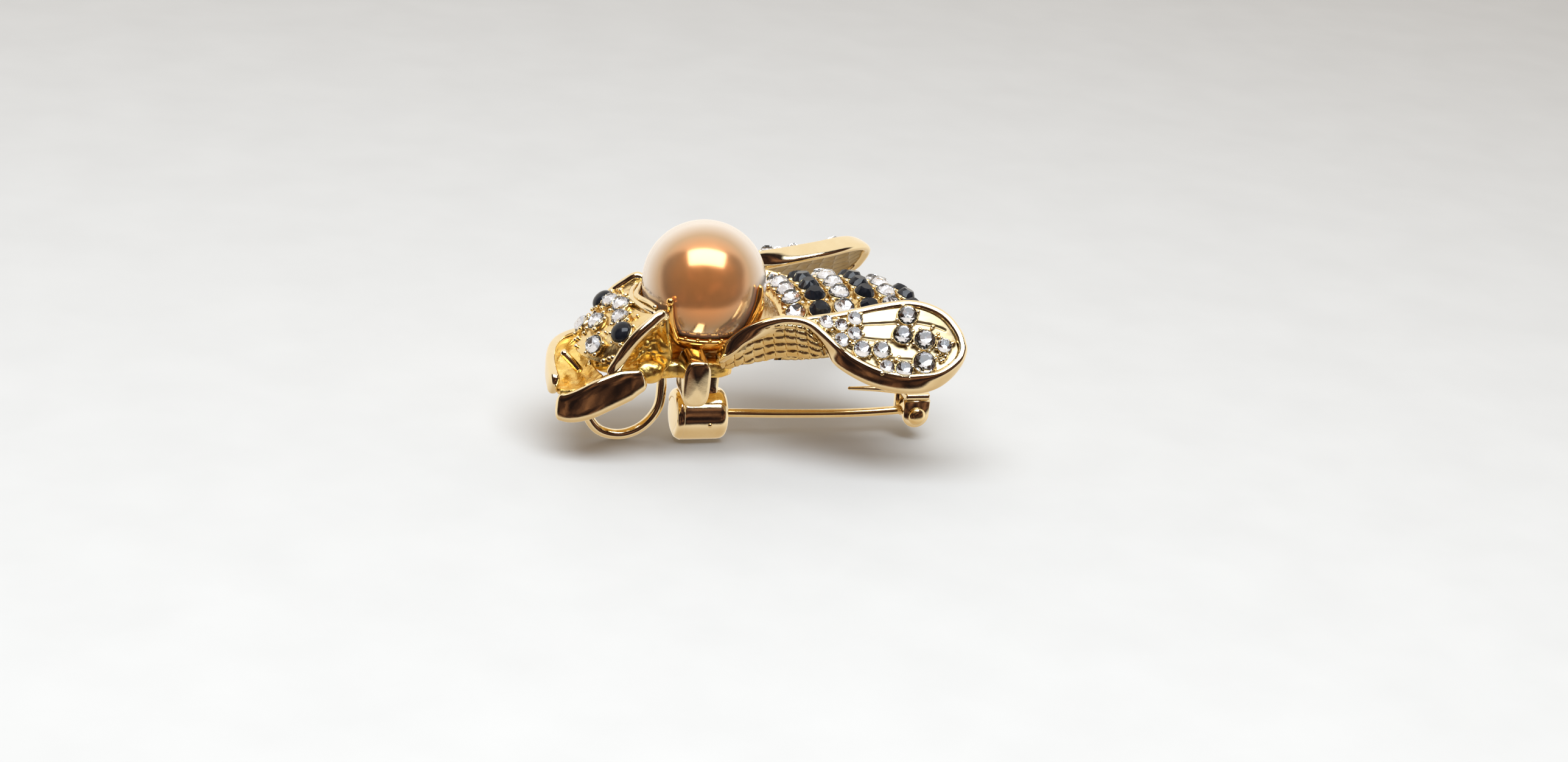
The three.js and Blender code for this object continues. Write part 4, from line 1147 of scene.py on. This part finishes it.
    # stones, their seats and the grains beside them
    seats_, gr = [], []
    for i, (u, v_, r_) in enumerate(WING_STONES):
        p, n_ = wing_frame(A, B, u, v_)
        q_ = p + n_ * 0.46
        o = gem_object(f"wing_{label}_gem_{i + 1:02d}", [(r_ * 1.02, 0.50 + 0.2 * r_, q_, n_, rng.uniform(0, 0.8))], True)
        done(o, "brooch", "clear_stone", f"wing_{label}_stone_{i + 1:02d}")
        seats_.append(seat(q_, n_, r_, 0.45))
        gr += collar_beads(q_, n_, r_, 4, 0.17, rng.uniform(0, 1.5), 1.14, 0.08)
    for u, v_ in [(0.45, 0.40), (0.55, 0.62), (0.605, 0.22), (0.615, 0.42), (0.70, 0.28), (0.745, 0.10), (0.72, 0.70), (0.80, 0.72), (0.83, 0.66), (0.845, 0.36), (0.86, 0.30), (0.885, 0.50), (0.90, 0.60), (0.875, 0.40), (0.84, 0.16)]:
        for k in range(2):
            p, n_ = wing_frame(A, B, min(0.95, u + rng.uniform(-0.012, 0.012)), min(0.93, max(0.08, v_ + rng.uniform(-0.05, 0.05))))
            gr.append((p + n_ * 0.34, n_, rng.uniform(0.15, 0.24)))
    v, f = merge(seats_)
    o = mesh_obj(f"wing_{label}_seats", v, f, BED)
    done(o, "brooch", "cast_gold")
    v, f = beads(gr)
    o = mesh_obj(f"wing_{label}_grains", v, f, GRAIN)
    done(o, "brooch", "polished_gold")
    return


build_wing("near", rimA, backB)
rimF, backF = to_far(rimA), to_far(backB)
build_wing("far", rimF, backF)

# lattice walls that tie each wing root to the body
LOWER = [(1.0, -3.75, 7.75), (2.6, -4.3, 8.3), (4.6, -4.95, 9.05), (6.3, -5.75, 9.45), (7.5, -6.7, 9.8), (8.3, -7.7, 10.35)]
for label, A, tf in (("near", rimA, lambda q_: np.asarray(q_, float)), ("far", rimF, to_far)):
    lowc = catmull(tf(np.array(LOWER)), 120)
    upc = A[(np.linspace(0.04, 0.375, 120) * NU).astype(int)]
    g = []
    for k in range(40):
        t = k / 39
        g.append(upc * (1 - t) + lowc * t)
    g = np.array(g).transpose(1, 0, 2)
    tt = np.cross(np.gradient(g, axis=0).reshape(-1, 3), np.gradient(g, axis=1).reshape(-1, 3))
    tt /= np.linalg.norm(tt, axis=1)[:, None] + 1e-9
    uu_, vv_ = np.meshgrid(np.arange(120), np.arange(40), indexing="ij")
    ww_ = np.linalg.norm(upc - lowc, axis=1)[:, None]
    dd = np.abs(np.sin(uu_ * 0.245 + vv_ / 39 * ww_ * 1.3)) * np.abs(np.sin(vv_ / 39 * ww_ * 4.2 - uu_ * 0.02))
    pts = g.reshape(-1, 3) + tt * (0.17 * (dd.ravel() ** 0.6))[:, None] * (1 if tt[:, 1].mean() * (1 if label == "far" else -1) > 0 else -1)
    o = mesh_obj(f"wing_{label}_root_wall", pts, grid_faces(120, 40), CAST)
    solidify(o, 0.3, 0.0)
    done(o, "brooch", "cast_gold")

# inner root walls between each wing and the abdomen, set with small stones and grains
for label, B_, sgn, mirror in (("near", backB, -1, False), ("far", backF, 1, True)):
    upc = B_[(np.linspace(0.10, 0.55, 90) * NU).astype(int)] + [0, -sgn * 0.1, -0.15]
    xs_ = upc[:, 0]
    lowc = np.stack([np.clip(xs_ - 0.4, 1.6, 20), sgn * np.interp(xs_, [1, 4, 6, 9, 12], [3.3, 3.9, 4.35, 4.6, 4.5]), np.interp(xs_, [1, 4, 6, 9, 12], [8.3, 8.9, 9.9, 10.9, 11.4])], 1)
    fade = np.clip((np.linspace(0, 1, 90) - 0.35) / 0.65, 0, 1)
    fade = (fade * fade * (3 - 2 * fade))[:, None]
    upc = upc * (1 - fade) + (lowc + [0, sgn * 0.25, 0.35]) * fade
    g = []
    for k in range(24):
        t = k / 23
        row = upc * (1 - t) + lowc * t
        row[:, 2] -= 0.25 * math.sin(math.pi * t)
        g.append(row)
    g = np.array(g).transpose(1, 0, 2)
    pts = g.reshape(-1, 3)
    r = pts - PEARL
    L = np.linalg.norm(r, axis=1)
    pts = PEARL + r * np.where(L < 6.0, 6.0 / L, 1.0)[:, None]
    gg = pts.reshape(90, 24, 3)
    o = mesh_obj(f"wing_{label}_inner_wall", pts, grid_faces(90, 24), CAST)
    solidify(o, 0.3, 0.0)
    done(o, "brooch", "cast_gold")
    chips, gr = [], []
    for i_ in range(6, 62, 9):
        for j_ in (6, 15):
            i2 = min(86, i_ + (5 if j_ == 15 else 0))
            p = gg[i2, j_]
            n_ = np.cross(gg[min(89, i2 + 2), j_] - gg[i2 - 2, j_], gg[i2, j_ + 2] - gg[i2, j_ - 2])
            n_ /= np.linalg.norm(n_) + 1e-9
            if n_ @ np.array([0, -sgn, 0.6]) < 0:
                n_ = -n_
            if np.linalg.norm(gg[i2, 0] - gg[i2, 23]) > 1.9:
                chips.append((0.50, 0.42, p + n_ * 0.16, n_, rng.uniform(0, 0.8)))
            gr += collar_beads(p + n_ * 0.12, n_, 0.55, 4, 0.16, rng.uniform(0, 1.5), 1.15, 0.08)
    o = gem_object(f"wing_{label}_root_chips", chips, True)
    done(o, "brooch", "clear_stone")
    v, f = beads(gr)
    o = mesh_obj(f"wing_{label}_root_grains", v, f, GRAIN)
    done(o, "brooch", "polished_gold")

# ---------------------------------------------------------------- head stones and eyes
HS = [("head_stone_crown", 0.8, 0, 0.85), ("head_stone_brow_near", 1.5, -1.75, 0.8), ("head_stone_brow_far", 1.5, 1.75, 0.8), ("head_stone_face", 2.7, 0, 0.85),
      ("head_stone_cheek_near", 3.9, -2.1, 0.85), ("head_stone_cheek_far", 3.9, 2.1, 0.85)]
seats, grains = [], []
for name, f_, y, r in HS:
    p, n_ = head_frame(f_, y)
    q_ = p + n_ * 0.22
    o = gem_object(name + "_gem", [(r * 0.97, 0.62, q_, n_, rng.uniform(0, 0.8))], True)
    done(o, "brooch", "clear_stone", name)
    seats.append(seat(q_, n_, r * 0.95, 0.35))
    grains += collar_beads(q_, n_, r, 5, 0.2, rng.uniform(0, 1.2), 1.14, 0.10)
for name, y in (("eye_near", -3.45), ("eye_far", 3.45)):
    p, n_ = head_frame(2.35, y)
    q_ = p + n_ * 0.22
    z = n_
    rings = []
    x_ = np.cross(z, [0.2, 0.9, 0.1])
    x_ /= np.linalg.norm(x_)
    y_ = np.cross(z, x_)
    prof = [(0.90, 0.0), (0.92, 0.12)] + [(0.92 * math.cos(t), 0.12 + 0.62 * math.sin(t)) for t in np.linspace(0.12, 1.5, 14)] + [(0.01, 0.745)]
    for rr_, hh_ in prof:
        a = np.linspace(0, 2 * np.pi, 40, endpoint=False)
        rings.append(q_ + np.outer(np.cos(a) * rr_, x_) + np.outer(np.sin(a) * rr_, y_) + z * hh_)
    v, f = loft(np.stack(rings))
    o = mesh_obj(name + "_cabochon", v, f, JET)
    done(o, "brooch", "jet_stone", name)
    seats.append(seat(q_, n_, 0.94, 0.35))
    grains += collar_beads(q_, n_, 0.95, 7, 0.17, 0.3, 1.2, 0.12)
k = 0
while k < 46:
    f_, y = rng.uniform(0.2, 4.85), rng.uniform(-4.0, 4.0)
    p, n_ = head_frame(f_, y)
    ok = all(np.linalg.norm(p - head_frame(a_, b_)[0]) > 1.22 for _, a_, b_, _ in HS) and all(np.linalg.norm(p - head_frame(2.35, b_)[0]) > 1.4 for b_ in (-3.45, 3.45)) and abs(y) < head_row(f_)[3] - 0.35
    if ok:
        grains.append((p + n_ * 0.10, n_, rng.uniform(0.17, 0.27)))
    k += 1
v, f = merge(seats)
o = mesh_obj("head_seats", v, f, BED)
done(o, "brooch", "cast_gold")
v, f = beads(grains)
o = mesh_obj("head_grains", v, f, GRAIN)
done(o, "brooch", "polished_gold")
# two collar bars behind the crown of the head
for dx_, z_ in ((0.0, 0.0), (0.62, 0.28)):
    v, f = bar([(-4.6 + dx_ * 0.2, -3.4 + dx_, 12.15 + z_), (-5.35 + dx_, -1.9, 12.2 + z_), (-5.75 + dx_ * 0.5, 0, 12.15 + z_), (-5.35 + dx_, 1.9, 12.2 + z_), (-4.6 + dx_ * 0.2, 3.4 - dx_, 12.15 + z_)], 0.24, 0.24, n=60, sides=14, power=2.0, k=0.05)
    r = v - PEARL
    L = np.linalg.norm(r, axis=1)
    v = PEARL + r * np.where(L < 5.12, 5.12 / L, 1.0)[:, None]
    o = mesh_obj(f"collar_bar_{'front' if dx_ == 0 else 'rear'}", v, f, GOLD)
    done(o, "brooch", "polished_gold")

# ---------------------------------------------------------------- bail
v, f = bar([(-3.0, 0, 6.6), (-2.78, 0, 4.6), (-3.0, 0, 2.6), (-4.2, 0, 1.05), (-5.9, 0, 0.42), (-7.7, 0, 0.85), (-8.75, 0, 2.2), (-9.05, 0, 4.0), (-8.85, 0, 6.3), (-8.5, 0, 6.9)], 0.42, 0.42, n=140, sides=24, power=2.0, up=(0, 1, 0), k=0.01)
v[:, 2] = np.maximum(v[:, 2], 0.003)
o = mesh_obj("bail_wire", v, f, GOLD)
done(o, "brooch", "polished_gold", "bail")

# ---------------------------------------------------------------- catch
CZ, CX0, CX1 = 2.15, 0.45 - 2.15, 0.45 + 2.15


def sector_body(r0, r1, a0, a1, x0, x1, bevel=0.12, n=60, m=40, crown=0.0):
    """C-shaped barrel round the catch axis with softened edges; angles from straight down towards +Y."""
    rings = []
    for i in range(n):
        a = math.radians(a0 + (a1 - a0) * i / (n - 1))
        e = min(i, n - 1 - i) / (n - 1) * math.radians(a1 - a0) * (r0 + r1) / 2
        s_ = 1.0 if e > bevel else math.sqrt(max(0.15, 1 - (1 - e / bevel) ** 2))
        rm, hr, hx, xm = (r0 + r1) / 2, (r1 - r0) / 2 * s_, (x1 - x0) / 2 - bevel * (1 - s_), (x0 + x1) / 2
        ring = []
        for j in range(m):
            b_ = 2 * math.pi * j / m
            cx = np.sign(math.cos(b_)) * abs(math.cos(b_)) ** (0.6 if crown else 0.12)
            cy = np.sign(math.sin(b_)) * abs(math.sin(b_)) ** (0.2 if crown else 0.35)
            rr_ = rm + hr * cy
            if crown:
                e2 = max(0.0, abs(hx * cx) - (hx - crown)) / crown
                rr_ -= 0.55 * crown * (1 - math.sqrt(max(0.0, 1 - e2 * e2)))
            ring.append((xm + hx * cx, math.sin(a) * rr_, CZ - math.cos(a) * rr_))
        rings.append(ring)
    return loft(np.array(rings))


parts = [sector_body(1.6, 2.15, 112, 332, CX0, CX1, 0.14, 60, 64, 0.7)]
capp = [(0.01, CX0 - 0.0), (1.2, CX0 + 0.0), (1.62, CX0 + 0.06), (1.95, CX0 + 0.22), (2.12, CX0 + 0.5), (2.14, CX0 + 0.58), (1.6, CX0 + 0.58), (0.01, CX0 + 0.58)]
cring = []
for rr_, x in capp:
    a = np.linspace(0, 2 * np.pi, 56, endpoint=False)
    cring.append(np.stack([np.full(56, x), np.cos(a) * rr_, CZ + np.sin(a) * rr_], 1))
parts.append(loft(np.stack(cring)))
parts.append(bar([(1.35, 0, CZ + 1.7), (1.38, 0, 5.2), (1.45, 0, 6.6)], lambda u: 0.62 + 0.25 * np.clip((0.3 - u) / 0.3, 0, 1) ** 2, 0.55, n=30, sides=28, power=3.2, up=(1, 0, 0), k=0.001))
v, f = merge(parts)
o = mesh_obj("catch_barrel", v, f, GOLD)
done(o, "brooch", "polished_gold", "catch_housing")
# small rivet head on the near side of the barrel
v, f = beads([((1.0, -2.09, 1.95), (0.0, -1.0, -0.1), 0.2)], 3)
o = mesh_obj("catch_rivet_dot", v, f, WIRE)
done(o, "brooch", "polished_gold")
parts = [sector_body(0.9, 1.5, 30, 330, CX0 + 0.72, CX1 - 0.1, 0.1)]
parts.append(sector_body(1.3, 2.63, 88, 106, 0.05, 1.35, 0.1, 16))
v, f = merge(parts)
o = mesh_obj("catch_roller", v, f, WIRE)
done(o, "sleeve", "polished_gold", "catch_sleeve")

# ---------------------------------------------------------------- hinge and pin
HX, HZ = 18.9, 2.15


def ear(y0, y1):
    out = []
    prof = [(-1.13, 1.3), (-1.13, 0.0)] + [(1.13 * math.cos(t), 1.13 * math.sin(t)) for t in np.linspace(math.pi, 2 * math.pi, 26)[1:-1]] + [(1.13, 0.0), (1.13, 1.3)]
    prof = np.array(prof)
    cen = np.array([0, 0.1])
    rings = []
    for y, s_ in ((y0, 0.90), (y0 + 0.06, 0.96), (y0 + 0.16, 1.0), (y1 - 0.16, 1.0), (y1 - 0.06, 0.96), (y1, 0.90)):
        q_ = cen + (prof - cen) * s_
        rings.append(np.stack([HX + q_[:, 0], np.full(len(q_), y), HZ + q_[:, 1]], 1))
    return loft(np.array(rings))


parts = [ear(-1.45, -0.85), ear(0.85, 1.45)]
parts.append(bar([(HX - 1.14, 0, HZ + 1.6), (HX, 0, HZ + 1.6), (HX + 1.14, 0, HZ + 1.6)], 1.45, 0.35, n=30, sides=32, power=4.0, up=(0, 0, 1), k=0.08))
parts.append(bar([(18.3, 0, HZ + 1.7), (18.0, 0, 6.2), (17.3, 0, 8.6), (16.9, 0, 10.2)], 0.8, 0.55, n=40, sides=28, power=3.0, up=(1, 0, 0), k=0.002))
parts.append(bar([(17.9, 0, HZ + 1.72), (15.6, 0, 4.05), (13.1, 0, 4.12)], lambda u: 0.42 * (1 - 0.72 * u), lambda u: 0.34 * (1 - 0.6 * u), n=40, sides=16, power=2.4, k=0.03))
v, f = merge(parts)
o = mesh_obj("hinge_clevis", v, f, GOLD)
done(o, "brooch", "polished_gold", "hinge_bracket")
prof = [(0.01, -1.97), (0.35, -1.96), (0.6, -1.86), (0.74, -1.68), (0.75, -1.54), (0.43, -1.5), (0.43, 1.5), (0.75, 1.54), (0.74, 1.68), (0.6, 1.86), (0.35, 1.96), (0.01, 1.97)]
rings = []
for r_, y in prof:
    a = np.linspace(0, 2 * np.pi, 36, endpoint=False)
    rings.append(np.stack([HX + np.cos(a) * r_, np.full(36, y), HZ + np.sin(a) * r_], 1))
v, f = loft(np.stack(rings))
o = mesh_obj("hinge_rivet_turned", v, f, WIRE)
done(o, "brooch", "polished_gold", "hinge_rivet")
# pin stem: coiled knuckle and wire
rings = []
for r_, y in [(0.5, -0.70), (0.62, -0.72), (0.86, -0.71), (0.95, -0.6), (0.95, 0.6), (0.86, 0.71), (0.62, 0.72), (0.5, 0.70)]:
    a = np.linspace(0, 2 * np.pi, 48, endpoint=False)
    rings.append(np.stack([HX + np.cos(a) * r_, np.full(48, y), HZ + np.sin(a) * r_], 1))
kn = loft(np.stack(rings), cap=False, closed=True)
wire = bar([(HX - 0.6, 0, HZ - 0.05), (14, 0, HZ - 0.25), (8, 0, HZ - 0.2), (1.65, 0, HZ), (-0.55, 0, HZ)], lambda u: 0.36 * np.clip((1 - u) / 0.1, 0.08, 1), lambda u: 0.36 * np.clip((1 - u) / 0.1, 0.08, 1), n=120, sides=20, power=2.0, up=(0, 1, 0), k=0.002)
v, f = merge([kn, wire])
o = mesh_obj("pin_wire", v, f, WIRE)
done(o, "pin", "polished_gold", "pin_stem")
